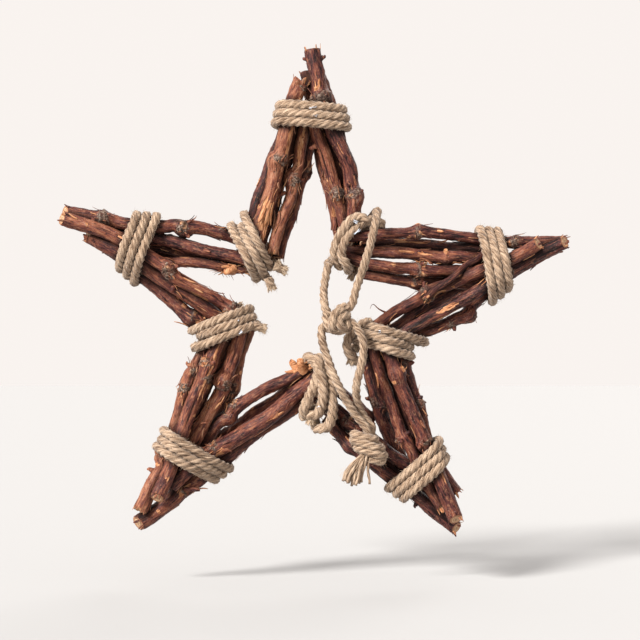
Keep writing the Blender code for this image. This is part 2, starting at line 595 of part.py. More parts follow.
class Star:
    """Everything in the star as lines, laid out about its centre at mid-depth."""

    def __init__(self):
        laid = lay_out_canes()
        self.canes = [line for _, _, line in laid]
        Bundle(self.canes).settle(Bundle.TIGHTEN)
        self.bindings = [
            Winding(point_place(number), seat, True).line(
                f"binding_point_{seat.name}", [line for point, _, line in laid if point == number]
            )
            for number, seat in enumerate(POINT_SEATS)
        ] + [
            Winding(corner_place(number), seat, False).line(
                f"binding_corner_{seat.name}", [line for _, corner, line in laid if corner == number]
            )
            for number, seat in enumerate(CORNER_SEATS)
        ]
        hung = [seat.name for seat in CORNER_SEATS].index(HUNG_CORNER)
        tied = [line for _, corner, line in laid if corner == hung]
        tied.append(self.bindings[len(POINT_SEATS) + hung])
        back = Winding(corner_place(hung), BACK_TURN, False)
        self.back_turn = back.line("hanging_cord_back", tied)
        self.knot = self.place_end_knot()
        top = self.knot + np.array([0.0, 0.0, 0.5 * (END_KNOT_LENGTH + ROPE_DIAMETER)])
        apart = 0.5 * ROPE_DIAMETER + CLEARANCE
        left_end, right_end = (top + apart * np.array([*entry, 0.0]) for entry in (LEFT_ENTRY, RIGHT_ENTRY))
        left = strand_line("hanging_cord_left", past(self.back_turn, True), LEFT_STRAND, left_end)
        right = strand_line("hanging_cord_right", past(self.back_turn, False), RIGHT_STRAND, right_end)
        self.strands = [left, right]
        Bundle(self.strands, [*self.canes, *self.bindings, self.back_turn]).settle()

    def place_end_knot(self):
        """The end knot's middle, in front of everything that it would touch."""
        centre = np.array(END_KNOT_AT) * MM
        points, radii = spheres_of([*self.canes, *self.bindings])
        beside = np.linalg.norm(points[:, [0, 2]] - centre, axis=1)
        near = beside < radii + 0.5 * END_KNOT_WIDTH + CLEARANCE
        front = (points[near, 1] - radii[near]).min()
        return np.array([centre[0], front - 0.5 * END_KNOT_WIDTH - CLEARANCE, centre[1]])

    def shift(self):
        """From the star's centre at mid-depth to the nail in the wall."""
        place, out = point_place(0)
        nail = flat(place - out * NAIL_DROP + np.array([NAIL_ASIDE, 0.0]))
        points, radii = spheres_of([*self.canes, *self.bindings, self.back_turn])
        nail[1] = (points[:, 1] + radii).max()
        return -nail


def main():
    """Build the whole star."""
    clear_scene()
    collection = bpy.data.collections.new("twig_star")
    bpy.context.scene.collection.children.link(collection)
    bark = make_material("vine_bark", (0.155, 0.062, 0.042), 0.8)
    jute = make_material("jute_rope", (0.50, 0.36, 0.22), 0.9)
    star = Star()
    shift = star.shift()
    for number, line in enumerate(star.canes):
        add_tube(line, shift, CANE_SIDES_RESOLUTION, bark, collection, TUBE_TURN * number)
    for line in [*star.bindings, star.back_turn]:
        add_tube(line, shift, ROPE_SIDES_RESOLUTION, jute, collection)
    for line in star.strands:
        add_tube(line, shift, CORD_SIDES_RESOLUTION, jute, collection)
    EndKnot().add(star.knot + shift, jute, collection)
    return star


if __name__ == "__main__":
    main()
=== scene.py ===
"""Dresses the twig star: vine canes with peeling bark, lashed with jute rope, and the cord on its front.

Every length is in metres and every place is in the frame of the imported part: +Z is up, the star's front
faces -Y, and the origin is the nail that it hangs on. The canes and the ropes follow the lines of their
solids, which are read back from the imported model, so each dressed piece lies where its solid lies.
"""

from __future__ import annotations

import json
import logging
import math
from collections.abc import Callable, Iterator, Sequence
from dataclasses import dataclass, field
from enum import Enum
from typing import ClassVar

import bpy
import numpy as np
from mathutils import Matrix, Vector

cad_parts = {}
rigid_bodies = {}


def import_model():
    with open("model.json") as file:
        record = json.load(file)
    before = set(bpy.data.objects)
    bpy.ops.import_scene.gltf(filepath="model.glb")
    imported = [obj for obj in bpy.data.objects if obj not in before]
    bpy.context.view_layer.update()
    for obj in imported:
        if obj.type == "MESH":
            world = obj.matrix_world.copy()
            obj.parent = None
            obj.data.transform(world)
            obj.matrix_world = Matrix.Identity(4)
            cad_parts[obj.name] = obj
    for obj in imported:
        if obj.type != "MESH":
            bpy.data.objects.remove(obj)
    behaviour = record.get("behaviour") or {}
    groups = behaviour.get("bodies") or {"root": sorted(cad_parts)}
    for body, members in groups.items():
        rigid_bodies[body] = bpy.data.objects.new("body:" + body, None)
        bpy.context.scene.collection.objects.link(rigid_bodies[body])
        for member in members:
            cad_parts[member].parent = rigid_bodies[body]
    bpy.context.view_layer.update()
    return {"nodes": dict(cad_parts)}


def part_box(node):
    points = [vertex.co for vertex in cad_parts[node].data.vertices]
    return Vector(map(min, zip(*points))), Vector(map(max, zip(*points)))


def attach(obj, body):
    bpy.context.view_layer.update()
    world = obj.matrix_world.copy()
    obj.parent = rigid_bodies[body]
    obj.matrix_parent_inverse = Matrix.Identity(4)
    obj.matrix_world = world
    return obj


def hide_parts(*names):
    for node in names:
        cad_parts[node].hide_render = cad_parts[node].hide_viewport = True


Array = np.ndarray
Random = np.random.Generator
Object = bpy.types.Object
Material = bpy.types.Material
Nodes = dict[str, Object]
Colour = tuple[float, float, float]
Place = tuple[float, float, float]
Pixel = tuple[float, float]

LOG = logging.getLogger("twig_star")
SEED = 20
BODY = "root"
MM = 0.001
TURN = 2 * math.pi
FRONT = np.array([0.0, -1.0, 0.0])
BARK_SLOT = "vine_bark"
ROPE_SLOT = "jute_rope"
CANE_SIDES = 6  # of the solids of canes and bindings
STRAND_SIDES = 8  # of the solids of the cord's free strands


# ---------------- the camera and the light


@dataclass(frozen=True)
class Viewpoint:
    """The camera that stands where the photograph was taken from, level with the star.

    Attributes:
        place: Where the camera stands.
        lens: Focal length in millimetres.
        sensor: Width of the sensor in millimetres.
        pixels: Width and height of the photograph.
    """

    place: Place = (0.0061, -2.0514, -0.1559)
    lens: float = 112.5
    sensor: float = 36.0
    pixels: int = 640

    def make(self) -> None:
        """Adds the camera and makes it the scene's own."""
        data = bpy.data.cameras.new("photo_camera")
        data.lens = self.lens
        data.sensor_width = self.sensor
        camera = bpy.data.objects.new("photo_camera", data)
        camera.location = self.place
        camera.rotation_euler = (math.pi / 2, 0.0, 0.0)
        bpy.context.scene.collection.objects.link(camera)
        bpy.context.scene.camera = camera
        bpy.context.scene.view_settings.view_transform = "Standard"

    def pixel_size(self, depth: Array | float) -> Array | float:
        """The width of one pixel at a depth along Y."""
        return (depth - self.place[1]) * self.sensor / self.lens / self.pixels

    def seen_at(self, points: Array) -> Array:
        """Where points show in the photograph.

        Args:
            points: Places as an array with a row for each.

        Returns:
            Pixels to the right and down, a row for each point.
        """
        size = self.pixel_size(points[:, 1])
        middle = 0.5 * self.pixels
        across = middle + (points[:, 0] - self.place[0]) / size
        down = middle - (points[:, 2] - self.place[2]) / size
        return np.stack([across, down], axis=1)


@dataclass(frozen=True)
class Studio:
    """A pale floor under the star and soft light round it.

    Attributes:
        floor_level: Height of the floor.
        floor_size: Length of the floor's sides.
        floor_colour: The floor's paint.
        surround: Colour of the light from all round.
        surround_strength: Strength of that light.
        aim_level: Height that the lamps are aimed at, the star's middle.
    """

    floor_level: float = -0.42
    floor_size: float = 12.0
    floor_colour: Colour = (0.398, 0.398, 0.400)
    surround: Colour = (1.0, 0.947, 0.911)
    surround_strength: float = 0.95
    aim_level: float = -0.15

    def make(self) -> None:
        """Adds the floor, the lights and the surrounding light."""
        self.lay_floor()
        self.add_lamp("key_light", (-1.5, -1.7, 1.25), 0.26, 6.5, (1.0, 0.97, 0.93))
        self.add_lamp("back_light", (0.9, 1.8, 1.1), 0.6, 1.0, (1.0, 0.98, 0.95))
        world = bpy.data.worlds.new("pale_room")
        world.use_nodes = True
        background = world.node_tree.nodes["Background"]
        background.inputs["Color"].default_value = (*self.surround, 1.0)
        background.inputs["Strength"].default_value = self.surround_strength
        bpy.context.scene.world = world

    def lay_floor(self) -> None:
        """Adds the floor."""
        half = 0.5 * self.floor_size
        mesh = bpy.data.meshes.new("floor")
        corners = [(-half, -half, 0.0), (half, -half, 0.0), (half, half, 0.0), (-half, half, 0.0)]
        mesh.from_pydata(corners, [], [(0, 1, 2, 3)])
        floor = bpy.data.objects.new("floor", mesh)
        floor.location.z = self.floor_level
        bpy.context.scene.collection.objects.link(floor)
        graph = ShaderGraph("floor_paint")
        graph.shader(colour=self.floor_colour, roughness=0.9)
        mesh.materials.append(graph.material)

    def add_lamp(
        self,
        name: str,
        place: Place,
        softness: float,
        strength: float,
        colour: Colour,
    ) -> None:
        """Adds a far soft light, which falls evenly on the star and the floor.

        Args:
            name: The lamp's name.
            place: Where its light comes from.
            softness: How wide it looks from the star, in radians.
            strength: Its strength in watts on a square metre.
            colour: Its colour.
        """
        data = bpy.data.lights.new(name, "SUN")
        data.angle = softness
        data.energy = strength
        data.color = colour
        lamp = bpy.data.objects.new(name, data)
        bpy.context.scene.collection.objects.link(lamp)
        aim = np.array([0.0, 0.0, self.aim_level]) - np.array(place)
        level = math.hypot(aim[0], aim[1])
        lamp.location = place
        lamp.rotation_euler = (math.pi / 2 + math.atan2(aim[2], level), 0.0, math.atan2(-aim[0], aim[1]))


# ---------------- shader maths


class Socket:
    """One output of a shader node. Arithmetic on it adds Math nodes."""

    def __init__(self, graph: ShaderGraph, output: bpy.types.NodeSocket) -> None:
        """Wraps an output of a node in a graph."""
        self.graph = graph
        self.output = output

    def maths(self, operation: str, *values: Socket | float) -> Socket:
        """A Math node's result on these values."""
        return self.graph.node("ShaderNodeMath", {"operation": operation}, dict(enumerate(values)))

    def __add__(self, other: Socket | float) -> Socket:
        """The sum."""
        return self.maths("ADD", self, other)

    __radd__ = __add__

    def __sub__(self, other: Socket | float) -> Socket:
        """The difference."""
        return self.maths("SUBTRACT", self, other)

    def __rsub__(self, other: float) -> Socket:
        """The difference from a number."""
        return self.maths("SUBTRACT", other, self)

    def __mul__(self, other: Socket | float) -> Socket:
        """The product."""
        return self.maths("MULTIPLY", self, other)

    __rmul__ = __mul__

    def sine(self) -> Socket:
        """The sine."""
        return self.maths("SINE", self)

    def between(self, low: float, high: float) -> Socket:
        """A smooth step that rises from 0 at the low value to 1 at the high one."""
        values = {"Value": self, "From Min": low, "From Max": high}
        return self.graph.node("ShaderNodeMapRange", {"interpolation_type": "SMOOTHSTEP"}, values)


class ShaderGraph:
    """A material's nodes."""

    def __init__(self, name: str) -> None:
        """Starts a material with its shader and nothing else.

        Args:
            name: The material's name.
        """
        self.material = bpy.data.materials.new(name)
        self.material.use_nodes = True
        self.tree = self.material.node_tree
        self.principled = self.tree.nodes["Principled BSDF"]

    def node(self, kind: str, settings: dict[str, object], inputs: dict, output: int | str = 0) -> Socket:
        """Adds one node.

        Args:
            kind: The node's type.
            settings: Its properties, and "stops" for a ramp's places and colours; these are set first.
            inputs: Values or links by input number or name.
            output: Number or name of the output that is wanted.

        Returns:
            That output.
        """
        made = self.tree.nodes.new(kind)
        for key, value in settings.items():
            if key == "stops":
                self.set_stops(made.color_ramp, value)
            else:
                setattr(made, key, value)
        for key, value in inputs.items():
            if isinstance(value, Socket):
                self.tree.links.new(value.output, made.inputs[key])
            else:
                made.inputs[key].default_value = value
        return Socket(self, made.outputs[output])

    @staticmethod
    def set_stops(ramp: bpy.types.ColorRamp, stops: Sequence[tuple[float, Colour]]) -> None:
        """Sets a ramp's stops.

        Args:
            ramp: The ramp.
            stops: Each stop's place and colour.
        """
        while len(ramp.elements) < len(stops):
            ramp.elements.new(1.0)
        for element, (place, colour) in zip(ramp.elements, stops):
            element.position = place
            element.color = (*colour, 1.0)

    def attribute(self, name: str, output: str = "Fac") -> Socket:
        """A value that the mesh carries."""
        return self.node("ShaderNodeAttribute", {"attribute_name": name}, {}, output)

    def noise(self, vector: Socket, scale: float, detail: float, rough: float = 0.55) -> Socket:
        """Cloudy noise between 0 and 1."""
        values = {"Vector": vector, "Scale": scale, "Detail": detail, "Roughness": rough}
        return self.node("ShaderNodeTexNoise", {}, values)

    def streaks(self, lay: Socket, along: float, scale: float, detail: float, rough: float = 0.55) -> Socket:
        """Noise along a cane or a strand, with this share of its detail left along it."""
        drawn = self.node("ShaderNodeVectorMath", {"operation": "MULTIPLY"}, {0: lay, 1: (1.0, 1.0, along)})
        return self.noise(drawn, scale, detail, rough)

    def ramp(self, factor: Socket, stops: Sequence[tuple[float, Colour]]) -> Socket:
        """A colour from a ramp."""
        return self.node("ShaderNodeValToRGB", {"stops": stops}, {0: factor})

    def mix(self, factor: Socket | float, first: Socket | Colour, second: Socket | Colour) -> Socket:
        """Two colours mixed, with this share of the second one."""
        sides = [side if isinstance(side, Socket) else (*side, 1.0) for side in (first, second)]
        return self.node("ShaderNodeMix", {"data_type": "RGBA"}, {0: factor, 6: sides[0], 7: sides[1]}, 2)

    def bump(self, height: Socket, distance: float) -> Socket:
        """A normal that shows this relief."""
        return self.node("ShaderNodeBump", {}, {"Height": height, "Distance": distance, "Strength": 1.0})

    def shader(
        self,
        colour: Socket | Colour,
        roughness: Socket | float,
        normal: Socket | None = None,
        coat: float = 0.0,
        sheen: float = 0.0,
        specular: float = 0.5,
    ) -> None:
        """Sets what the Principled shader shows.

        Args:
            colour: Base colour, as a link or a plain colour.
            roughness: Roughness, as a link or a number.
            normal: The relief's normal.
            coat: Weight of a clear coat.
            sheen: Weight of the sheen of fine fibres.
            specular: Level of the plain gloss.
        """
        inputs = self.principled.inputs
        for key, value in (("Base Color", colour), ("Roughness", roughness), ("Normal", normal)):
            if isinstance(value, Socket):
                self.tree.links.new(value.output, inputs[key])
            elif isinstance(value, tuple):
                inputs[key].default_value = (*value, 1.0)
            elif value is not None:
                inputs[key].default_value = value
        inputs["Coat Weight"].default_value = coat
        inputs["Sheen Weight"].default_value = sheen
        inputs["Specular IOR Level"].default_value = specular


# ---------------- the finishes


@dataclass(frozen=True)
class VineBark:
    """Stringy red-brown bark with purple patches, orange where it has peeled and grey at its nodes.

    Attributes:
        deep: The deepest furrows.
        purple: Old smooth bark.
        russet: The bark's middle colour.
        orange: Younger bark.
        tan: The highest fibres.
        flake: Loose flakes.
        dust_and_sheen: Pale grey flecks: dust in the bark, and a painted sheen.
        bast: The dark fibres of peeled places.
        peeled: Peeled places.
        fresh: The palest wood of peeled places.
        node_deep: The furrows of a node.
        node_grey: A node's weathered bark.
        node_pale: A node's highest places.
        painted_shade: Painted shade in furrows, in gnarls' hollows and close against other pieces.
        depth: Depth of the finest relief.
        gloss: Level of the plain gloss.
    """

    deep: Colour = (0.008, 0.003, 0.003)
    purple: Colour = (0.066, 0.0205, 0.0195)
    russet: Colour = (0.125, 0.0370, 0.0230)
    orange: Colour = (0.220, 0.077, 0.040)
    tan: Colour = (0.330, 0.165, 0.098)
    flake: Colour = (0.310, 0.142, 0.080)
    dust_and_sheen: Colour = (0.230, 0.155, 0.135)
    bast: Colour = (0.070, 0.020, 0.010)
    peeled: Colour = (0.400, 0.155, 0.065)
    fresh: Colour = (0.540, 0.300, 0.160)
    node_deep: Colour = (0.012, 0.007, 0.006)
    node_grey: Colour = (0.105, 0.062, 0.043)
    node_pale: Colour = (0.25, 0.20, 0.165)
    painted_shade: Colour = (0.004, 0.0015, 0.0015)
    depth: float = 0.0015
    gloss: float = 0.16

    def make(self) -> Material:
        """Builds the material.

        Returns:
            The material.
        """
        graph = ShaderGraph("vine_bark")
        grain = graph.attribute("grain", "Vector")
        tone = graph.attribute("tone")
        fine = graph.streaks(grain, 0.085, 1150.0, 4.0, 0.62)
        broad = graph.streaks(grain, 0.20, 330.0, 3.0)
        patch = graph.streaks(grain, 0.45, 90.0, 2.0)
        flaky = graph.streaks(grain, 0.22, 620.0, 3.0, 0.7)
        speck = graph.noise(grain, 900.0, 2.0)
        level = 0.46 * fine + 0.30 * broad + 0.24 * patch + 0.26 * (tone - 0.5) + 0.10 * (speck - 0.5) + 0.008
        stops = (
            (0.37, self.deep),
            (0.43, self.purple),
            (0.50, self.russet),
            (0.57, self.orange),
            (0.66, self.tan),
        )
        colour = graph.ramp(level, stops)
        colour = graph.mix(flaky.between(0.56, 0.64) * (0.35 + 0.60 * tone), colour, self.flake)
        colour = graph.mix((1 - flaky).between(0.57, 0.66) * 0.85, colour, self.deep)
        # pale grey flecks: dust, and a painted sheen
        colour = graph.mix(speck.between(0.58, 0.70) * patch.between(0.44, 0.58) * 0.55, colour, self.dust_and_sheen)
        wood = graph.ramp(fine, ((0.36, self.bast), (0.47, self.peeled), (0.62, self.fresh)))
        bare = graph.attribute("bare") + 0.5 * (flaky - 0.5)
        colour = graph.mix(bare.between(0.34, 0.50), colour, wood)
        ages = ((0.36, self.node_deep), (0.52, self.node_grey), (0.68, self.node_pale))
        weathered = graph.ramp(speck, ages)
        grey = graph.attribute("grey") * (0.15 + 1.5 * broad)
        colour = graph.mix(grey.between(0.35, 0.85), colour, weathered)
        # painted shade: darker in the bark's furrows, in the hollows of gnarls and near other pieces
        cleft = graph.attribute("cleft").between(0.10, 0.90)
        colour = graph.mix(cleft * 0.9, colour, self.painted_shade)
        relief = 0.50 * fine + 0.30 * flaky + 0.20 * speck
        rough = 0.28 + 0.42 * broad + 0.30 * cleft
        graph.shader(colour, rough, graph.bump(relief, self.depth), specular=self.gloss)
        return graph.material


@dataclass(frozen=True)
class CutWood:
    """The pale end of a sawn or snapped cane, with growth rings and rays.

    Attributes:
        pale: Clean wood.
        warm: The rings and the rim.
        pith: The middle.
        stain: Dirt in the pores.
        ring_turns: How far the rings' wave runs from the middle to the rim, in radians.
    """

    pale: Colour = (0.600, 0.390, 0.230)
    warm: Colour = (0.300, 0.130, 0.060)
    pith: Colour = (0.050, 0.020, 0.011)
    stain: Colour = (0.110, 0.042, 0.022)
    ring_turns: float = 22.0

    def make(self) -> Material:
        """Builds the material.

        Returns:
            The material.
        """
        graph = ShaderGraph("cut_wood")
        grain = graph.attribute("grain", "Vector")
        spots = graph.noise(grain, 900.0, 3.0)
        rim = graph.attribute("cleft")
        rings = (self.ring_turns * rim + 3.0 * spots).sine()
        colour = graph.mix((0.5 + 0.3 * rings + 0.5 * spots).between(0.3, 1.0), self.warm, self.pale)
        colour = graph.mix(1 - rim.between(0.10, 0.30), colour, self.pith)
        colour = graph.mix(rim.between(0.62, 0.95), colour, self.warm)
        colour = graph.mix(spots.between(0.54, 0.64) * 0.5, colour, self.stain)
        graph.shader(colour, 0.85, graph.bump(spots + 0.2 * rings, 0.0008))
        return graph.material


@dataclass(frozen=True)
class Jute:
    """Dull golden-tan jute: pale fibres, darker ones between, and dark furrows between the strands.

    Attributes:
        name: The material's name.
        light: The palest fibres.
        middle: Most of the fibres.
        dark: The shade between fibres.
        furrow: The shade between strands.
        depth: Depth of the finest relief.
    """

    name: str = "jute_rope"
    light: Colour = (0.490, 0.360, 0.255)
    middle: Colour = (0.275, 0.182, 0.118)
    dark: Colour = (0.075, 0.040, 0.022)
    furrow: Colour = (0.040, 0.019, 0.009)
    depth: float = 0.0012

    def make(self) -> Material:
        """Builds the material.

        Returns:
            The material.
        """
        graph = ShaderGraph(self.name)
        lay = graph.attribute("grain", "Vector")
        fibre = graph.streaks(lay, 0.10, 1500.0, 3.0, 0.6)
        yarn = graph.streaks(lay, 0.13, 620.0, 2.0)
        patch = graph.noise(lay, 60.0, 2.0)
        level = 0.50 * fibre + 0.40 * yarn + 0.15 * patch
        colour = graph.ramp(level, ((0.42, self.dark), (0.51, self.middle), (0.60, self.light)))
        colour = graph.mix(graph.attribute("cleft").between(0.15, 1.0) * 0.9, colour, self.furrow)
        graph.shader(colour, 0.92, graph.bump(0.6 * fibre + 0.5 * yarn, self.depth), sheen=0.2, specular=0.2)
        return graph.material


@dataclass(frozen=True)
class Glue:
    """Strings and smears of clear glue, whose bluish-white colour is a painted glint over their own gloss."""

    # painted glint: the clear glue is given a bluish-white colour
    colour: Colour = (0.70, 0.78, 0.90)

    def make(self) -> Material:
        """Builds the material.

        Returns:
            The material.
        """
        graph = ShaderGraph("clear_glue")
        graph.shader(self.colour, 0.12, coat=0.6, specular=0.9)
        return graph.material


class Finishes:
    """Every material, made once."""

    def __init__(self) -> None:
        """Makes the materials."""
        self.bark = VineBark().make()
        self.cut = CutWood().make()
        hair = {"light": (0.56, 0.43, 0.31), "middle": (0.42, 0.30, 0.20), "dark": (0.22, 0.14, 0.08)}
        self.roping = (Jute().make(), Jute("jute_hair", **hair).make())
        self.glue = Glue().make()


# ---------------- lines and surfaces


def unit(vector: Array) -> Array:
    """Vectors made one long."""
    return vector / np.maximum(np.linalg.norm(vector, axis=-1, keepdims=True), 1e-12)


def square_to(way: Array) -> Array:
    """A unit vector square to this one."""
    other = np.array([0.0, 1.0, 0.0]) if abs(way[1]) < 0.8 else np.array([1.0, 0.0, 0.0])
    return unit(np.cross(way, other))


def heading(degrees: float, depth: float = 0.0) -> Array:
    """The way that leads this far round from the right, anticlockwise as seen from the front."""
    aim = math.radians(degrees)
    return np.array([math.cos(aim), depth, math.sin(aim)])


def spokes(across: Array, up: Array, angles: Array) -> Array:
    """The ways out at each point of a line, turned from one square way to the other by each angle."""
    return np.cos(angles)[None, :, None] * across[:, None] + np.sin(angles)[None, :, None] * up[:, None]


def draw_waves(
    rng: Random,
    along: Array,
    angles: Array,
    around: tuple[int, int],
    lengths: tuple[float, float],
    count: int,
) -> Array:
    """Uneven streaks that run along a cane or a rope: a sum of waves round it and along it.

    Args:
        rng: Source of the random numbers.
        along: Lengths from its start.
        angles: Angles round it.
        around: Least and most waves round it.
        lengths: Shortest and longest wave along it.
        count: How many waves there are.

    Returns:
        The streaks' height by length and angle, about -1 to 1.
    """
    turns = rng.integers(around[0], around[1] + 1, count)
    speeds = TURN / rng.uniform(lengths[0], lengths[1], count) * rng.choice([-1, 1], count)
    phases = rng.uniform(0, TURN, count)
    total = np.zeros((len(along), len(angles)))
    for turn, speed, phase in zip(turns, speeds, phases):
        total += np.cos(turn * angles[None] + speed * along[:, None] + phase)
    return total * math.sqrt(1.0 / count)


@dataclass
class Route:
    """A line through space with a radius at each of its points."""

    FLAT = 0.99995  # least cosine between two triangles of one flat face
    FINE = 12  # pieces that a rounded line has between two of its points

    points: Array
    radii: Array

    @classmethod
    def of_node(cls, node: Object, sides: int) -> Route:
        """Reads the line of a tube back from its solid.

        Args:
            node: The CAD node, a tube of flat faces.
            sides: How many sides the tube has.

        Returns:
            The line through the middles of the tube's rings.
        """
        places, triangles = cls.welded(node)
        near: list[set[int]] = [set() for _ in places]
        for a, b, c in triangles:
            near[a] |= {b, c}
            near[b] |= {a, c}
            near[c] |= {a, b}
        for cap in cls.flat_groups(places, triangles, sides):
            rings, seen = [cap], set(cap)
            while True:
                ring = {n for place in rings[-1] for n in near[place]} - seen
                if not ring:
                    break
                seen |= ring
                rings.append(ring)
            if all(len(ring) == sides for ring in rings):
                loops = [places[sorted(ring)] for ring in rings]
                middles = np.array([loop.mean(0) for loop in loops])
                radii = [np.linalg.norm(loop - loop.mean(0), axis=1).mean() for loop in loops]
                return cls(middles, np.array(radii))
        raise ValueError(f"{node.name} isn't a tube with {sides} sides")

    @staticmethod
    def welded(node: Object) -> tuple[Array, Array]:
        """Reads a solid's corners, each once, and its triangles.

        Args:
            node: The CAD node.

        Returns:
            The corners' places, and the three corners of each triangle.
        """
        mesh = node.data
        mesh.calc_loop_triangles()
        corners = np.empty(3 * len(mesh.vertices))
        mesh.vertices.foreach_get("co", corners)
        triangles = np.empty(3 * len(mesh.loop_triangles), np.int32)
        mesh.loop_triangles.foreach_get("vertices", triangles)
        micrometres = np.round(corners.reshape(-1, 3) * 1e6).astype(int)
        _, first, same = np.unique(micrometres, axis=0, return_index=True, return_inverse=True)
        return corners.reshape(-1, 3)[first], same.reshape(-1)[triangles].reshape(-1, 3)

    @staticmethod
    def flat_groups(places: Array, triangles: Array, sides: int) -> list[set[int]]:
        """Finds every flat face that could be an end of a tube.

        Args:
            places: The corners' places.
            triangles: The three corners of each triangle.
            sides: How many sides the tube has.

        Returns:
            The corners of each such face.
        """
        a, b, c = (places[triangles[:, k]] for k in range(3))
        normals = unit(np.cross(b - a, c - a))
        group = list(range(len(triangles)))

        def first_of(number: int) -> int:
            """Follows a triangle's group to its root.

            Args:
                number: The triangle.

            Returns:
                The triangle that stands for its group.
            """
            while group[number] != number:
                number = group[number]
            return number

        by_edge: dict[tuple[int, int], int] = {}
        for number, (p, q, r) in enumerate(triangles):
            for edge in ((p, q), (q, r), (r, p)):
                key = (min(edge), max(edge))
                other = by_edge.setdefault(key, number)
                if other != number and normals[other] @ normals[number] > Route.FLAT:
                    group[first_of(number)] = first_of(other)
        members: dict[int, list[int]] = {}
        for number in range(len(triangles)):
            members.setdefault(first_of(number), []).append(number)
        flat = [some for some in members.values() if len(some) == sides - 2]
        corners = [set(triangles[some].ravel().tolist()) for some in flat]
        return [some for some in corners if len(some) == sides]

    def smooth(self, step: float, through: bool) -> Route:
        """The same line, rounded and cut into even steps.

        Args:
            step: Distance between its new points.
            through: Whether it goes through the old points, or touches the middles between them.

        Returns:
            The rounded line.
        """
        share = np.linspace(0, 1, self.FINE, endpoint=False)[:, None]
        values = np.column_stack([self.points, self.radii])
        if through:
            padded = np.vstack([2 * values[0] - values[1], values, 2 * values[-1] - values[-2]])
            pieces = [self.catmull(padded[k : k + 4], share) for k in range(len(values) - 1)]
        else:
            padded = np.vstack([values[0], values, values[-1]])
            pieces = [self.bent(padded[k : k + 3], share) for k in range(len(values))]
        fine = np.vstack([*pieces, values[-1:]])
        return Route(fine[:, :3], fine[:, 3]).even(step)

    @staticmethod
    def catmull(four: Array, t: Array) -> Array:
        """Rounds a line between the middle two of four points.

        Args:
            four: The points.
            t: Shares of the way between the middle two.

        Returns:
            The curve's points.
        """
        a, b, c, d = four
        bend, twist = 2 * a - 5 * b + 4 * c - d, 3 * b - a - 3 * c + d
        return 0.5 * (2 * b + (c - a) * t + bend * t**2 + twist * t**3)

    @staticmethod
    def bent(three: Array, t: Array) -> Array:
        """Points on the curve that touches the two lines between three points at their middles."""
        a, b, c = three
        return 0.5 * (a * (1 - t) ** 2 + b * (1 + 2 * t - 2 * t**2) + c * t**2)

    def even(self, step: float) -> Route:
        """Cuts the line into even steps.

        Args:
            step: Distance between its new points.

        Returns:
            The line with even steps.
        """
        at = self.along()
        count = max(3, int(round(at[-1] / step)) + 1)
        where = np.linspace(0.0, at[-1], count)
        columns = [np.interp(where, at, self.points[:, axis]) for axis in range(3)]
        return Route(np.stack(columns, axis=1), np.interp(where, at, self.radii))

    def along(self) -> Array:
        """Length from the start to each point."""
        steps = np.linalg.norm(np.diff(self.points, axis=0), axis=1)
        return np.concatenate([[0.0], np.cumsum(steps)])

    def ways(self) -> Array:
        """The line's direction at each point."""
        return unit(np.gradient(self.points, axis=0))

    def frames(self, start: Array | None = None) -> tuple[Array, Array]:
        """Two directions square to the line at each point, which turn as little as they can.

        Args:
            start: Roughly where the first one leads at the start.

        Returns:
            The two directions, a row for each point.
        """
        ways = self.ways()
        guess = square_to(ways[0]) if start is None else start
        across = np.empty_like(ways)
        across[0] = unit(guess - ways[0] * (guess @ ways[0]))
        for k in range(1, len(ways)):
            carried = across[k - 1] - ways[k] * (across[k - 1] @ ways[k])
            across[k] = carried / math.sqrt(max(carried @ carried, 1e-18))
        return across, np.cross(ways, across)


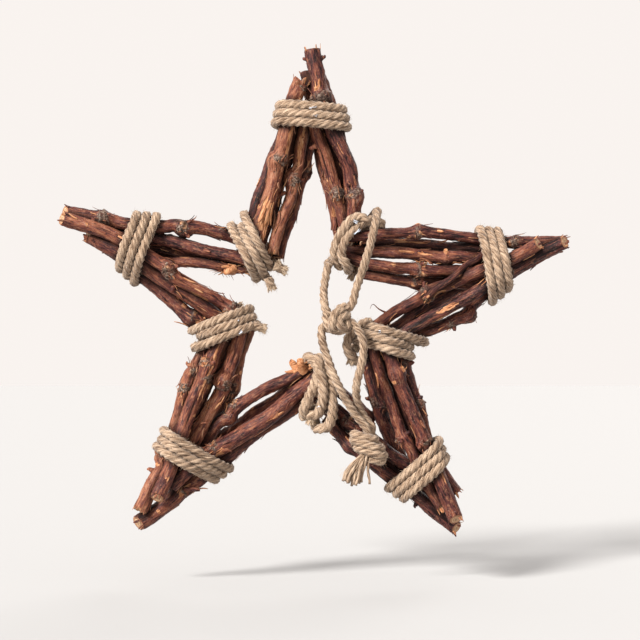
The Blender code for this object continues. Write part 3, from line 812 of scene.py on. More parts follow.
class Surface:
    """The mesh of one piece as it is put together.

    Besides its place, each point carries "grain", what the materials read as its place, and four scalars: how
    orange its bark is, how bare of bark it is, how grey, and how deep in a furrow or close to another piece,
    where the bark and the rope paint shade; the cut wood reads the last as how far out towards its rim it is.
    """

    SCALARS: ClassVar[tuple[str, ...]] = ("tone", "bare", "grey", "cleft")

    def __init__(self, name: str) -> None:
        """Starts an empty piece.

        Args:
            name: The piece's name.
        """
        self.name = name
        self.count = 0
        self.places: list[Array] = []
        self.faces: list[tuple[int, ...]] = []
        self.materials: list[int] = []
        self.grain: list[Array] = []
        self.scalars: dict[str, list[Array]] = {key: [] for key in self.SCALARS}

    def add_points(self, places: Array, grain: Array, **scalars: Array | float) -> int:
        """Adds points with what they carry.

        Args:
            places: The points.
            grain: What the materials read as place, for each.
            **scalars: Further values for each.

        Returns:
            The number of the first one.
        """
        first = self.count
        self.places.append(places.reshape(-1, 3))
        self.count += len(self.places[-1])
        self.grain.append(grain.reshape(-1, 3))
        for key in self.SCALARS:
            value = scalars.get(key, 0.0)
            self.scalars[key].append(np.broadcast_to(np.ravel(value), self.count - first))
        return first

    def add_tube(
        self,
        rings: Array,
        grain: Array,
        material: int = 0,
        ends: tuple[bool, bool] = (True, True),
        **scalars: Array | float,
    ) -> None:
        """Adds a tube through rings of points.

        Args:
            rings: Points by ring and by place round it.
            grain: What the materials read as place, for each point.
            material: The material's number.
            ends: Whether each end is closed with one flat face.
            **scalars: Further values for each point.
        """
        count, around = rings.shape[:2]
        first = self.add_points(rings, grain, **scalars)
        ring = np.arange(around)
        after = (ring + 1) % around
        for k in range(count - 1):
            low, high = first + k * around, first + (k + 1) * around
            quads = np.stack([low + ring, low + after, high + after, high + ring], axis=1)
            self.faces.extend(map(tuple, quads.tolist()))
        added = (count - 1) * around
        if ends[0]:
            self.faces.append(tuple((first + ring[::-1]).tolist()))
            added += 1
        if ends[1]:
            self.faces.append(tuple((first + (count - 1) * around + ring).tolist()))
            added += 1
        self.materials.extend([material] * added)

    def add_thin(
        self,
        route: Route,
        sides: int,
        flat: float = 1.0,
        material: int = 0,
        **values: Array | float,
    ) -> None:
        """Adds a thin closed strand, or a strip where it is flattened.

        Args:
            route: Its line, with its half width at each point.
            sides: How many sides it has.
            flat: Thickness as a share of the width.
            material: The material's number.
            **values: "facing", the way that a strip's face looks, and further values for each point.
        """
        up, across = route.frames(values.pop("facing", None))
        angles = TURN * (np.arange(sides) + 0.5) / sides
        rings = route.points[:, None] + spokes(flat * up, across, angles) * route.radii[:, None, None]
        grain = np.broadcast_to(route.along()[:, None, None], rings.shape).copy()
        grain[..., :2] = route.radii.mean() * np.stack([np.cos(angles), np.sin(angles)], axis=1)[None]
        grain += route.points[0]
        self.add_tube(rings, grain, material, **values)

    def make(self, materials: Sequence[Material], slot: str, *nodes: str) -> Object:
        """Makes the object.

        Args:
            materials: Its materials, by the numbers that the faces were given.
            slot: The record's material slot; not used.
            *nodes: The CAD nodes that it stands for.

        Returns:
            The object, which rides on the star.
        """
        mesh = bpy.data.meshes.new(self.name)
        mesh.from_pydata(np.vstack(self.places).tolist(), [], self.faces)
        for material in materials:
            mesh.materials.append(material)
        mesh.polygons.foreach_set("material_index", np.array(self.materials, np.int32))
        mesh.polygons.foreach_set("use_smooth", np.ones(len(self.faces), bool))
        carried = mesh.attributes.new("grain", "FLOAT_VECTOR", "POINT")
        carried.data.foreach_set("vector", np.vstack(self.grain).astype(np.float32).ravel())
        for key in self.SCALARS:
            layer = mesh.attributes.new(key, "FLOAT", "POINT")
            layer.data.foreach_set("value", np.concatenate(self.scalars[key]).astype(np.float32))
        piece = bpy.data.objects.new(self.name, mesh)
        bpy.context.scene.collection.objects.link(piece)
        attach(piece, BODY)
        if nodes:
            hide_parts(*nodes)
        LOG.info("%s: %d faces", self.name, len(self.faces))
        return piece


# ---------------- the canes


class Kind(Enum):
    """What a mark on a cane is."""

    SCAR = "scar"  # an oval of bare orange wood with a raised rim
    DOT = "dot"  # a small pale round scar
    STREAK = "streak"  # a long peeled place
    GNARL = "gnarl"  # a rough grey swelling
    HUMP = "hump"  # a smooth swelling on one side
    STUB = "stub"  # a short side branch with a cut end
    TUFT = "tuft"  # loose fibres
    PEEL = "peel"  # a lifted strip of bark
    SPLINTER = "splinter"  # a broken strip of bare wood that leads away
    TENDRIL = "tendril"  # a thin dry shoot that leads away


@dataclass(frozen=True)
class Mark:
    """A mark that the photograph shows.

    Attributes:
        x: Pixels to the right in the photograph.
        y: Pixels down.
        kind: What it is.
        size: Its length in millimetres.
        toward: Degrees that it leads, seen from the front, anticlockwise from the right.
    """

    x: float
    y: float
    kind: Kind
    size: float
    toward: float = 90.0


class End(Enum):
    """How a cane ends."""

    SAWN = "sawn"  # square to the cane
    SLANTED = "slanted"
    FACING = "facing"  # cut at a slant that shows its face to the front
    TORN = "torn"


# What the photograph shows on each leg, in the order in which it is put there.
MARKS: dict[str, tuple[Mark, ...]] = {
    "top_right": (
        Mark(317, 90, Kind.SCAR, 7), Mark(323, 98, Kind.GNARL, 12), Mark(322, 58, Kind.STUB, 4, 40),
        Mark(305, 59, Kind.STUB, 3, 150), Mark(324, 71, Kind.HUMP, 6), Mark(328, 82, Kind.HUMP, 6),
        Mark(338, 193, Kind.GNARL, 16), Mark(333, 189, Kind.TUFT, 9, 250), Mark(341, 186, Kind.SCAR, 8),
        Mark(349, 188, Kind.STUB, 4, 60), Mark(334, 217, Kind.PEEL, 14, 215),
        Mark(358, 197, Kind.HUMP, 16), Mark(316, 147, Kind.STUB, 6, 200),
    ),
    "top_left": (
        Mark(306, 90, Kind.GNARL, 9), Mark(298, 85, Kind.STUB, 4, 110), Mark(282, 162, Kind.GNARL, 12),
        Mark(295, 182, Kind.GNARL, 11), Mark(294, 186, Kind.DOT, 5), Mark(279, 195, Kind.STUB, 7, 30),
        Mark(265, 208, Kind.PEEL, 16, 245), Mark(271, 206, Kind.SPLINTER, 24, 255),
        Mark(267, 222, Kind.SPLINTER, 26, 250), Mark(273, 229, Kind.PEEL, 18, 255),
        Mark(290, 138, Kind.STREAK, 40), Mark(300, 150, Kind.STREAK, 46),
        Mark(262, 222, Kind.STREAK, 22),
    ),
    "right_upper": (
        Mark(420, 228, Kind.HUMP, 12), Mark(418, 226, Kind.SCAR, 6), Mark(413, 236, Kind.DOT, 4),
        Mark(421, 252, Kind.DOT, 3), Mark(446, 252, Kind.SCAR, 8), Mark(420, 264, Kind.GNARL, 12),
        Mark(424, 266, Kind.SCAR, 6), Mark(419, 262, Kind.TUFT, 8, 60),
        Mark(423, 277, Kind.STUB, 6, 260),
    ),
    "right_lower": (
        Mark(422, 285, Kind.GNARL, 12), Mark(421, 282, Kind.STUB, 5, 80),
        Mark(437, 293, Kind.STREAK, 22), Mark(386, 312, Kind.TENDRIL, 16, 185),
        Mark(449, 307, Kind.STREAK, 26), Mark(452, 326, Kind.GNARL, 11),
        Mark(455, 330, Kind.STUB, 4, 290),
    ),
    "foot_right_outer": (
        Mark(371, 402, Kind.GNARL, 13), Mark(367, 399, Kind.STUB, 4, 160),
        Mark(407, 434, Kind.STUB, 3, 60), Mark(400, 366, Kind.GNARL, 11), Mark(401, 368, Kind.SCAR, 6),
        Mark(410, 363, Kind.STUB, 4, 20), Mark(418, 398, Kind.STUB, 4, 20),
        Mark(423, 440, Kind.TENDRIL, 14, 80),
    ),
    "foot_right_inner": (
        Mark(414, 505, Kind.STUB, 4, 250),
    ),
    "foot_left_outer": (
        Mark(149, 467, Kind.STUB, 5, 170), Mark(158, 466, Kind.SCAR, 7), Mark(185, 388, Kind.GNARL, 14),
        Mark(204, 366, Kind.SCAR, 7), Mark(209, 379, Kind.GNARL, 12), Mark(208, 384, Kind.SCAR, 8),
        Mark(222, 386, Kind.GNARL, 10), Mark(206, 405, Kind.STREAK, 34),
        Mark(203, 412, Kind.TUFT, 16, 240), Mark(229, 395, Kind.GNARL, 13),
        Mark(227, 394, Kind.SCAR, 8), Mark(231, 381, Kind.DOT, 4), Mark(200, 427, Kind.TENDRIL, 18, 30),
    ),
    "foot_left_inner": (
        Mark(183, 489, Kind.PEEL, 18, 250), Mark(198, 492, Kind.PEEL, 10, 300),
        Mark(197, 446, Kind.STUB, 5, 130), Mark(212, 445, Kind.GNARL, 13),
        Mark(222, 451, Kind.PEEL, 9, 60), Mark(234, 403, Kind.GNARL, 12), Mark(236, 402, Kind.SCAR, 8),
        Mark(292, 388, Kind.SCAR, 8), Mark(296, 369, Kind.STUB, 9, 125),
        Mark(303, 369, Kind.STUB, 11, 95), Mark(308, 373, Kind.STUB, 10, 55),
        Mark(304, 362, Kind.SPLINTER, 16, 120), Mark(309, 366, Kind.SPLINTER, 12, 70),
        Mark(296, 370, Kind.SPLINTER, 10, 150),
    ),
    "left_lower": (
        Mark(199, 323, Kind.SCAR, 9), Mark(204, 319, Kind.SCAR, 6), Mark(237, 302, Kind.GNARL, 14),
        Mark(170, 275, Kind.GNARL, 12), Mark(173, 287, Kind.STUB, 4, 250),
        Mark(200, 296, Kind.STREAK, 20),
    ),
    "left_upper": (
        Mark(182, 227, Kind.GNARL, 15), Mark(183, 227, Kind.SCAR, 8), Mark(222, 226, Kind.GNARL, 11),
        Mark(177, 251, Kind.DOT, 4), Mark(232, 268, Kind.TUFT, 9, 200),
        Mark(221, 272, Kind.TUFT, 8, 210), Mark(233, 270, Kind.STUB, 8, 190),
        Mark(236, 267, Kind.SPLINTER, 12, 200), Mark(230, 274, Kind.SPLINTER, 10, 230),
        Mark(102, 217, Kind.GNARL, 11), Mark(94, 220, Kind.STUB, 4, 250),
        Mark(104, 226, Kind.TENDRIL, 14, 330),
    ),
}

# How orange each leg's bark is, from 0, purple-brown, to 1, tan, and the canes that differ from their leg.
LEG_TONES: dict[str, float] = {
    "top_left": 0.46,
    "top_right": 0.38,
    "right_upper": 0.34,
    "right_lower": 0.28,
    "foot_right_outer": 0.24,
    "foot_right_inner": 0.28,
    "foot_left_inner": 0.36,
    "foot_left_outer": 0.60,
    "left_lower": 0.38,
    "left_upper": 0.36,
}
CANE_TONES: dict[str, float] = {
    "top_left_1": 0.66,
    "top_left_2": 0.22,
    "top_left_3": 0.62,
    "top_right_1": 0.50,
    "top_right_2": 0.26,
    "foot_left_outer_3": 0.60,
    "left_lower_1": 0.44,
}


@dataclass
class Twig:
    """One vine cane: its line, its relief, its marks and what sticks out of it.

    Attributes:
        name: The cane's name within the star.
        route: The line of its solid.
        tone: How orange its bark is.
        rng: Source of its random numbers.
        plump: How far the bark reaches, as a share of its flat-sided solid's corners.
        step: Length between its rings of points.
        sides: Points in a ring.
        furrow: Depth of its long furrows.
        lump: Height of its lumps, as a share of its thickness.
        grit: Height of its finest relief.
        along: Length from its start to each ring.
        angles: Angle of each of a ring's points.
        ways: The way along it at each ring.
        across: The way out of it at angle 0.
        up: The way out of it a quarter turn further.
        swell: Height of the relief at each point.
        layers: How bare and how grey each point is, and its painted shade in furrows and gaps.
        extras: What builds its strips and branches.
    """

    PEELED_EVERY = 0.16  # length of cane, on average, for each peeled streak,
    STRIP_EVERY = 0.040  # each lifted strip of bark,
    THREAD_EVERY = 0.026  # each loose thread
    SCAR_EVERY = 0.055  # and each small scar
    END_STRIPS = 7  # that stand off at either end
    END_INSET = 0.0035  # from where those are held to the end
    SHOOTS = 0.6  # share of the knuckles that have the stub of a shoot
    # Painted shade on the bark where other pieces lie close:
    GAP_SEARCH = 0.032  # how far off other pieces are looked for
    GAP_REACH = 0.0095  # from a piece's skin to where its shade ends
    GAP_SHADE = 0.90
    GRAIN_RADIUS = 0.0052  # of the tube of space that the bark's pattern is taken from
    BRANCH_SIDES = 10
    BROAD = 0.0006  # half width from which a strip is a flat ribbon
    LOW = 0.0001  # how high a strip lies where it is held
    BURIED = 0.0005  # how far the last ring is drawn in, which rounds the end's edge

    name: str
    route: Route
    tone: float
    rng: Random
    plump: float
    step: float = 0.0018
    sides: int = 22
    furrow: float = 0.00030
    lump: float = 0.045
    grit: float = 0.00016
    along: Array = field(init=False)
    angles: Array = field(init=False)
    ways: Array = field(init=False)
    across: Array = field(init=False)
    up: Array = field(init=False)
    swell: Array = field(init=False)
    layers: dict[str, Array] = field(init=False)
    extras: list[Callable[[Surface], None]] = field(init=False, default_factory=list)

    def __post_init__(self) -> None:
        """Lays the cane's surface out as a grid of places along and round it."""
        knuckles = self.find_knuckles()
        self.route = self.route.smooth(self.step, through=True)
        self.along = self.route.along()
        self.angles = TURN * np.arange(self.sides) / self.sides
        self.ways = self.route.ways()
        self.across, self.up = self.route.frames(FRONT)
        shape = (len(self.along), self.sides)
        streaks = self.draw_grain((3, 8), (0.025, 0.16), 16)
        ribs = self.draw_grain((5, 10), (0.06, 0.30), 10)
        lumps = self.draw_grain((1, 2), (0.018, 0.07), 8)
        self.swell = self.furrow * (0.75 * streaks + 0.65 * ribs - 0.3 * np.abs(ribs))
        self.swell += self.lump * lumps * self.route.radii[:, None]
        self.swell += self.grit * self.draw_grain((2, 6), (0.004, 0.016), 12)
        # how deep each place lies in a furrow, where the bark paints shade
        depth = np.clip(-0.55 * streaks - 0.75 * ribs - 0.75, 0.0, 1.0)
        self.layers = {"bare": np.zeros(shape), "grey": np.zeros(shape), "cleft": depth}
        for at in knuckles:
            self.add_knuckle(at)
        self.scatter()

    def draw_grain(self, around: tuple[int, int], lengths: tuple[float, float], count: int) -> Array:
        """Uneven streaks over this cane."""
        return draw_waves(self.rng, self.along, self.angles, around, lengths, count)

    def find_knuckles(self) -> list[float]:
        """Where the solid swells, as lengths from its start."""
        radii, at = self.route.radii, self.route.along()
        return [at[k] for k in range(1, len(at) - 1) if radii[k] > 1.1 * max(radii[k - 1], radii[k + 1])]

    def add_knuckle(self, at: float) -> None:
        """Dresses a swelling as a vine's node: rough bark, a scar and often a short stub.

        Args:
            at: Length from the cane's start.
        """
        side = self.rng.normal(0, 0.9)
        self.roughen(at, side, 0.014, 0.8)
        self.bare_scar(at + self.rng.normal(0, 0.002), side, self.rng.uniform(0.004, 0.007), 0.9)
        if self.rng.uniform() < self.SHOOTS:
            angle = side + self.rng.choice([-1.2, 1.2])
            _, out, way = self.surface_at(at, angle)
            self.add_branch(at, angle, unit(out + 0.5 * way), self.rng.uniform(0.002, 0.005), 0.0020)

    def places(self, every: float, margin: float) -> Iterator[tuple[float, float]]:
        """Draws a place for each such length of cane, as the length from its start and the angle."""
        for _ in range(self.rng.poisson(self.along[-1] / every)):
            yield self.rng.uniform(margin, self.along[-1] - margin), self.rng.uniform(0, TURN)

    def scatter(self) -> None:
        """Adds peeled streaks, lifted strips, loose threads and scars, which are found all over old vine."""
        draw = self.rng.uniform
        for at, angle in self.places(self.PEELED_EVERY, 0.010):
            self.peel_streak(at, angle, draw(0.006, 0.022), draw(0.08, 0.18))
        for at, angle in self.places(self.STRIP_EVERY, 0.012):
            self.lift_strip(at, angle, draw(0.006, 0.016), draw(0.0008, 0.0016), 0.0022)
        for at, angle in self.places(self.THREAD_EVERY, 0.006):
            self.lift_strip(at, angle, draw(0.007, 0.018), draw(0.0002, 0.0004), 0.0018)
        for at, angle in self.places(self.SCAR_EVERY, 0.008):
            self.bare_scar(at, angle, draw(0.0028, 0.0055), 0.9)
        for at, ahead in ((self.END_INSET, -1.0), (self.along[-1] - self.END_INSET, 1.0)):
            for _ in range(self.END_STRIPS):
                angle, reach = draw(0, TURN), draw(0.003, 0.0065)
                self.lift_strip(at, angle, reach, draw(0.0006, 0.0014), 0.0016, ahead)

    def paint_gap_shade(self, others: Sequence[Route]) -> None:
        """Paints shade on the bark where other pieces lie close against it.

        Args:
            others: The lines of the pieces round it.
        """
        points = np.vstack([route.points for route in others])
        radii = np.concatenate([route.radii for route in others])
        out = spokes(self.across, self.up, self.angles)
        skin = self.route.points[:, None] + out * self.route.radii[:, None, None] * self.plump
        for k, middle in enumerate(self.route.points):
            close = np.linalg.norm(points - middle, axis=1) < self.GAP_SEARCH
            if close.any():
                gaps = np.linalg.norm(skin[k][:, None] - points[close][None], axis=2) - radii[close]
                # painted shade, darkest where another piece touches the bark
                dark = self.GAP_SHADE * np.clip(1 - gaps.min(1) / self.GAP_REACH, 0.0, 1.0) ** 0.8
                self.layers["cleft"][k] = np.maximum(self.layers["cleft"][k], dark)

    def near(self, at: float, angle: float, length: float, width: float) -> Array:
        """A soft oval on the cane's surface.

        Args:
            at: Length from the start to its middle.
            angle: Where round the cane its middle is.
            length: Its half length.
            width: Its half width, as an angle.

        Returns:
            1 at its middle, falling to 0 outside it, for each place on the surface.
        """
        aside = (self.angles[None] - angle + math.pi) % TURN - math.pi
        far = ((self.along[:, None] - at) / length) ** 2 + (aside / width) ** 2
        return np.exp(-far)

    def raise_layer(self, layer: str, values: Array) -> None:
        """Raises a layer to these values wherever it is lower."""
        self.layers[layer] = np.maximum(self.layers[layer], values)

    def peel_streak(self, at: float, angle: float, length: float, width: float) -> None:
        """Bares a long narrow place with ragged edges.

        Args:
            at: Length from the cane's start to its middle.
            angle: Where round the cane.
            length: Its half length.
            width: Its half width, as an angle.
        """
        ragged = 0.42 * self.draw_grain((4, 10), (0.004, 0.02), 10)
        shape = np.clip(1.5 * self.near(at, angle, length, width) * (1 + ragged), 0.0, 1.0)
        self.raise_layer("bare", np.where(shape > 0.35, shape, 0.0))
        self.layers["cleft"] *= 1.0 - np.clip(shape, 0.0, 1.0)
        self.swell -= 0.00035 * np.clip(2.4 * shape - 0.8, 0.0, 1.0)

    def bare_scar(self, at: float, angle: float, length: float, paleness: float = 1.0) -> None:
        """Bares an oval with a raised rim, where a shoot was cut off.

        Args:
            at: Length from the cane's start to its middle.
            angle: Where round the cane.
            length: Its length.
            paleness: How bare its wood is, up to 1.
        """
        width = min(0.42 * length / self.route.radii.mean(), 1.0)
        shape = self.near(at, angle, 0.5 * length, width)
        rim = np.clip(1 - np.abs(shape - 0.45) / 0.25, 0.0, 1.0)
        self.swell += 0.0008 * shape + 0.0005 * rim
        self.raise_layer("bare", paleness * (shape > 0.42) * (0.6 + 0.4 * shape))
        self.raise_layer("grey", 0.8 * rim)

    def roughen(self, at: float, angle: float, length: float, amount: float) -> None:
        """Makes a gnarled grey swelling with bark fibres.

        Args:
            at: Length from the cane's start to its middle.
            angle: Where round the cane.
            length: Its length.
            amount: How strong it is, up to 1.
        """
        shape = self.near(at, angle, 0.5 * length, 1.5)
        knobs = self.draw_grain((2, 7), (0.003, 0.010), 14)
        self.swell += shape * (0.0010 * amount + 0.00075 * amount * knobs)
        self.raise_layer("grey", np.clip(amount * shape * (1.1 + 0.5 * knobs), 0, 1))
        # painted shade in the hollows between the knobs
        self.raise_layer("cleft", np.clip(-knobs - 0.4, 0, 1) * shape)
        self.raise_layer("bare", np.clip(knobs - 1.1, 0, 1) * shape)
        for _ in range(self.rng.poisson(7 * amount)):
            where = at + self.rng.normal(0, 0.35 * length)
            aim = angle + self.rng.normal(0, 0.8)
            reach, width = self.rng.uniform(0.005, 0.011), self.rng.uniform(0.0002, 0.0007)
            self.lift_strip(where, aim, reach, width, 0.003)

    def hump(self, at: float, angle: float, length: float) -> None:
        """Swells one side smoothly."""
        self.swell += 0.16 * length * self.near(at, angle, 0.55 * length, 0.8)

    def surface_at(self, at: float, angle: float) -> tuple[Array, Array, Array]:
        """A place on the bark.

        Args:
            at: Length from the start.
            angle: Where round the cane.

        Returns:
            The place, the way out of the bark and the way along the cane.
        """
        k = int(np.clip(np.searchsorted(self.along, at), 0, len(self.along) - 1))
        out = math.cos(angle) * self.across[k] + math.sin(angle) * self.up[k]
        return self.route.points[k] + out * self.route.radii[k] * self.plump, out, self.ways[k]

    def lift_strip(
        self,
        at: float,
        angle: float,
        length: float,
        width: float,
        lift: float,
        ahead: float = 0.0,
        bare: float = 0.0,
    ) -> None:
        """Adds a strip of bark that lies along the cane, held at one end and lifted at the other.

        Args:
            at: Length from the cane's start to where it is held.
            angle: Where round the cane.
            length: Its length.
            width: Its half width.
            lift: How far its free end stands off.
            ahead: 1 to lead towards the cane's end, -1 towards its start, 0 for either.
            bare: 1 for bare wood, 0 for bark or wood by chance.
        """
        place, out, way = self.surface_at(at, angle)
        way = way * (ahead or self.rng.choice([-1.0, 1.0]))
        side = np.cross(out, way)
        share = np.linspace(0, 1, 6)[:, None]
        rise = lift * self.rng.uniform(0.3, 1.2) * share**2.2
        swing = 0.12 * length * self.rng.normal() * share**2
        points = place + way * length * share + out * (rise + self.LOW) + side * swing
        radii = width * np.sin(np.clip(share[:, 0] * 2.6 + 0.35, 0, math.pi)) ** 0.5 + 0.00008
        bare = max(bare, self.rng.choice([0.0, 0.0, 1.0]))
        tone = min(1.0, self.tone + self.rng.uniform(-0.1, 0.5))
        sides, flat = (6, 0.3) if width > self.BROAD else (4, 0.8)
        values = {"tone": tone, "bare": bare, "facing": out}
        self.extras.append(lambda surface: surface.add_thin(Route(points, radii), sides, flat, **values))

    def add_branch(
        self,
        at: float,
        angle: float,
        lead: Array,
        length: float,
        radius: float,
        cut: bool = True,
        bare: float = 0.0,
    ) -> None:
        """Adds a stub or a shoot that grows out of the cane.

        Args:
            at: Length from the start.
            angle: Where round the cane.
            lead: The way that it grows.
            length: How far it reaches.
            radius: Its half thickness at the root.
            cut: Whether it ends in a flat cut, or thins out to a point.
            bare: How far its bark is gone, from 0 to 1.
        """
        place, out, _ = self.surface_at(at, angle)
        share = np.linspace(0, 1, 9)[:, None]
        start = place - out * 0.6 * radius
        bend = out * 0.35 * length * (1 - share) * share * 4
        if not cut:
            bend = bend + square_to(lead) * 0.08 * length * np.sin(share * 7.0)
        points = start + lead * length * share + bend
        thin = 1.0 - (0.15 if cut else 0.75) * share[:, 0]
        flare = 1.0 + 0.6 * np.exp(-share[:, 0] * 6)
        route = Route(points, radius * thin * flare)
        jag = self.rng.uniform(0, TURN)

        def build(surface: Surface) -> None:
            """Puts the branch's surface together.

            Args:
                surface: The cane.
            """
            angles = TURN * np.arange(self.BRANCH_SIDES) / self.BRANCH_SIDES
            rough = 1 + 0.10 * np.cos(3 * angles[None] + jag + 4 * share)
            rough = rough + 0.06 * np.cos(5 * angles[None] - jag)
            out_ways = spokes(*route.frames(), angles)
            rings = route.points[:, None] + out_ways * (route.radii[:, None] * rough)[..., None]
            grain = np.broadcast_to(route.along()[:, None, None], rings.shape) + place
            grain = grain + 0.4 * out_ways * route.radii[:, None, None]
            grey = np.broadcast_to(0.5 * np.exp(-3 * share), rings.shape[:2])
            surface.add_tube(rings, grain, 0, (False, False), tone=self.tone, grey=grey, bare=bare)
            self.close_end(surface, rings[-1], unit(route.points[-1] - route.points[-2]), radius * 0.3)
            self.close_end(surface, rings[0][::-1], unit(route.points[0] - route.points[1]), radius * 0.1)

        self.extras.append(build)

    def close_end(self, surface: Surface, ring: Array, way: Array, rough: float) -> None:
        """Closes a ring with cut wood.

        Args:
            surface: The piece.
            ring: The last ring's points, in their order round the way out.
            way: The way out of the end.
            rough: How far the cut's face is uneven.
        """
        middle = ring.mean(0)
        count = len(ring)
        shares = (1.0, 0.8, 0.5, 0.22)
        rings = np.array([middle + (ring - middle) * share for share in shares])
        lift = self.rng.normal(0, 1, (len(shares), count)) * 0.35 * rough
        lift[0] = 0.0
        lift[1:] += 0.25 * rough
        rings += lift[..., None] * way
        across = square_to(way)
        up = np.cross(way, across)
        flat = np.stack([(rings - middle) @ across, (rings - middle) @ up, np.zeros(lift.shape)], axis=2)
        rim = np.broadcast_to(np.array(shares)[:, None], lift.shape)
        surface.add_tube(rings, flat + self.tone, 1, (False, True), cleft=rim)

    def build(self, finishes: Finishes, ends: tuple[End, End]) -> Object:
        """Makes the cane.

        Args:
            finishes: The materials.
            ends: How it ends at its start and at its end.

        Returns:
            The object.
        """
        surface = Surface(f"twig_{self.name}")
        out = spokes(self.across, self.up, self.angles)
        reach = self.route.radii[:, None] * self.plump + self.swell
        rings = self.route.points[:, None] + out * reach[..., None]
        for last, kind in enumerate(ends):
            self.shape_end(rings, out, kind, bool(last))
        grain = np.empty_like(rings)
        grain[..., 0] = self.GRAIN_RADIUS * np.cos(self.angles)
        grain[..., 1] = self.GRAIN_RADIUS * np.sin(self.angles)
        grain[..., 2] = self.along[:, None]
        grain += self.rng.uniform(0, 1, 3)
        surface.add_tube(rings, grain, 0, (False, False), tone=self.tone, **self.layers)
        rough = [0.0024 if kind is End.TORN else 0.0009 for kind in ends]
        self.close_end(surface, rings[-1], self.ways[-1], rough[1])
        self.close_end(surface, rings[0][::-1], -self.ways[0], rough[0])
        for extra in self.extras:
            extra(surface)
        return surface.make((finishes.bark, finishes.cut), BARK_SLOT, f"cane_{self.name}")

    def shape_end(self, rings: Array, out: Array, kind: End, last: bool) -> None:
        """Slants, tears or rounds the last few rings at one end.

        Args:
            rings: The cane's rings, which are changed.
            out: The way out at each point of them.
            kind: How it ends.
            last: Whether it is the end, and not the start.
        """
        way = self.ways[-1] if last else -self.ways[0]
        picks = [(-1 - k if last else k) for k in range(4)]
        turn = self.rng.uniform(0, TURN)
        slope = {End.SAWN: 0.10, End.SLANTED: 0.45, End.FACING: 0.62, End.TORN: 0.30}[kind]
        lean = out[picks[0], :, 1] if kind is End.FACING else np.cos(self.angles - turn)
        pull = slope * lean * self.route.radii[picks[0]]
        if kind is End.TORN:
            pull = pull + 0.0016 * self.rng.normal(0, 1, self.sides)
        for k, pick in enumerate(picks):
            fade = (1 - k / len(picks)) ** 2
            rings[pick] += way * (pull * fade)[:, None]
        rings[picks[0]] -= out[picks[0]] * self.BURIED


@dataclass
class Leg:
    """The canes that run from one point of the star to one inner corner.

    Attributes:
        twigs: The canes.
    """

    DEPTH_WORTH = 60.0  # pixels of mismatch that a metre further to the front makes up for
    STOUT_FROM = 0.0075  # length from which a stub is stout
    STUB_RADII: ClassVar[tuple[float, float]] = (0.0022, 0.0038)  # of plain and of stout stubs
    TENDRIL_RADIUS = 0.0007
    SPLINTERS = 3  # strips in a splintered place
    FIBRES = 9  # threads in a tuft

    twigs: list[Twig] = field(default_factory=list)

    def find(self, mark: Mark, viewpoint: Viewpoint) -> tuple[Twig, float, float]:
        """The cane that shows at a mark's pixel.

        Args:
            mark: The mark.
            viewpoint: Where the photograph was taken from.

        Returns:
            The cane, the length from its start and the angle round it.
        """
        best = None
        for twig in self.twigs:
            points = twig.route.points
            aside = viewpoint.seen_at(points) - np.array([mark.x, mark.y])
            apart = np.linalg.norm(aside, axis=1)
            k = int(apart.argmin())
            thick = twig.route.radii[k] / viewpoint.pixel_size(points[k, 1])
            worth = max(apart[k] - 0.8 * thick, 0.0) + self.DEPTH_WORTH * points[k, 1]
            if best is None or worth < best[0]:
                best = (worth, twig, k, -aside[k] / thick)
        _, twig, k, share = best
        facing = np.array([share[0], 0.0, -share[1]])
        sideways = facing - twig.ways[k] * (facing @ twig.ways[k])
        length = min(np.linalg.norm(sideways), 0.98)
        wanted = unit(sideways) * length + FRONT * math.sqrt(1 - length**2)
        angle = math.atan2(wanted @ twig.up[k], wanted @ twig.across[k])
        return twig, twig.along[k], angle

    def put(self, mark: Mark, viewpoint: Viewpoint) -> None:
        """Puts one mark on the cane that shows there.

        Args:
            mark: The mark.
            viewpoint: Where the photograph was taken from.
        """
        twig, at, angle = self.find(mark, viewpoint)
        size = mark.size * MM
        _, out, _ = twig.surface_at(at, angle)
        lead = unit(heading(mark.toward) + 0.6 * out)
        match mark.kind:
            case Kind.SCAR:
                twig.bare_scar(at, angle, size)
                twig.add_branch(at, angle, unit(out + 0.25 * lead), 0.30 * size, 0.27 * size, bare=0.8)
            case Kind.DOT:
                twig.bare_scar(at, angle, size, 0.8)
            case Kind.STREAK:
                twig.peel_streak(at, angle, 0.5 * size, 0.34)
            case Kind.GNARL:
                twig.roughen(at, angle, size, 1.0)
            case Kind.HUMP:
                twig.hump(at, angle, size)
            case Kind.STUB:
                stout = size > self.STOUT_FROM
                twig.add_branch(at, angle, lead, size, self.STUB_RADII[stout], bare=0.8 if stout else 0.0)
            case Kind.SPLINTER:
                ahead = 1.0 if lead @ twig.ways[int(np.searchsorted(twig.along, at)) - 1] > 0 else -1.0
                for _ in range(self.SPLINTERS):
                    spot, aim = at + twig.rng.normal(0, 0.002), angle + twig.rng.normal(0, 0.35)
                    twig.lift_strip(spot, aim, size * twig.rng.uniform(0.6, 1.0), 0.0016, 0.0040, ahead, 1.0)
            case Kind.TENDRIL:
                twig.add_branch(at, angle, lead, size, self.TENDRIL_RADIUS, cut=False)
            case Kind.TUFT:
                for _ in range(self.FIBRES):
                    spot, aim = at + twig.rng.normal(0, 0.003), angle + twig.rng.normal(0, 0.5)
                    twig.lift_strip(spot, aim, size, 0.0003, 0.006)
            case Kind.PEEL:
                twig.lift_strip(at, angle, size, 0.0024, 0.0075)
                twig.peel_streak(at, angle, 0.6 * size, 0.45)


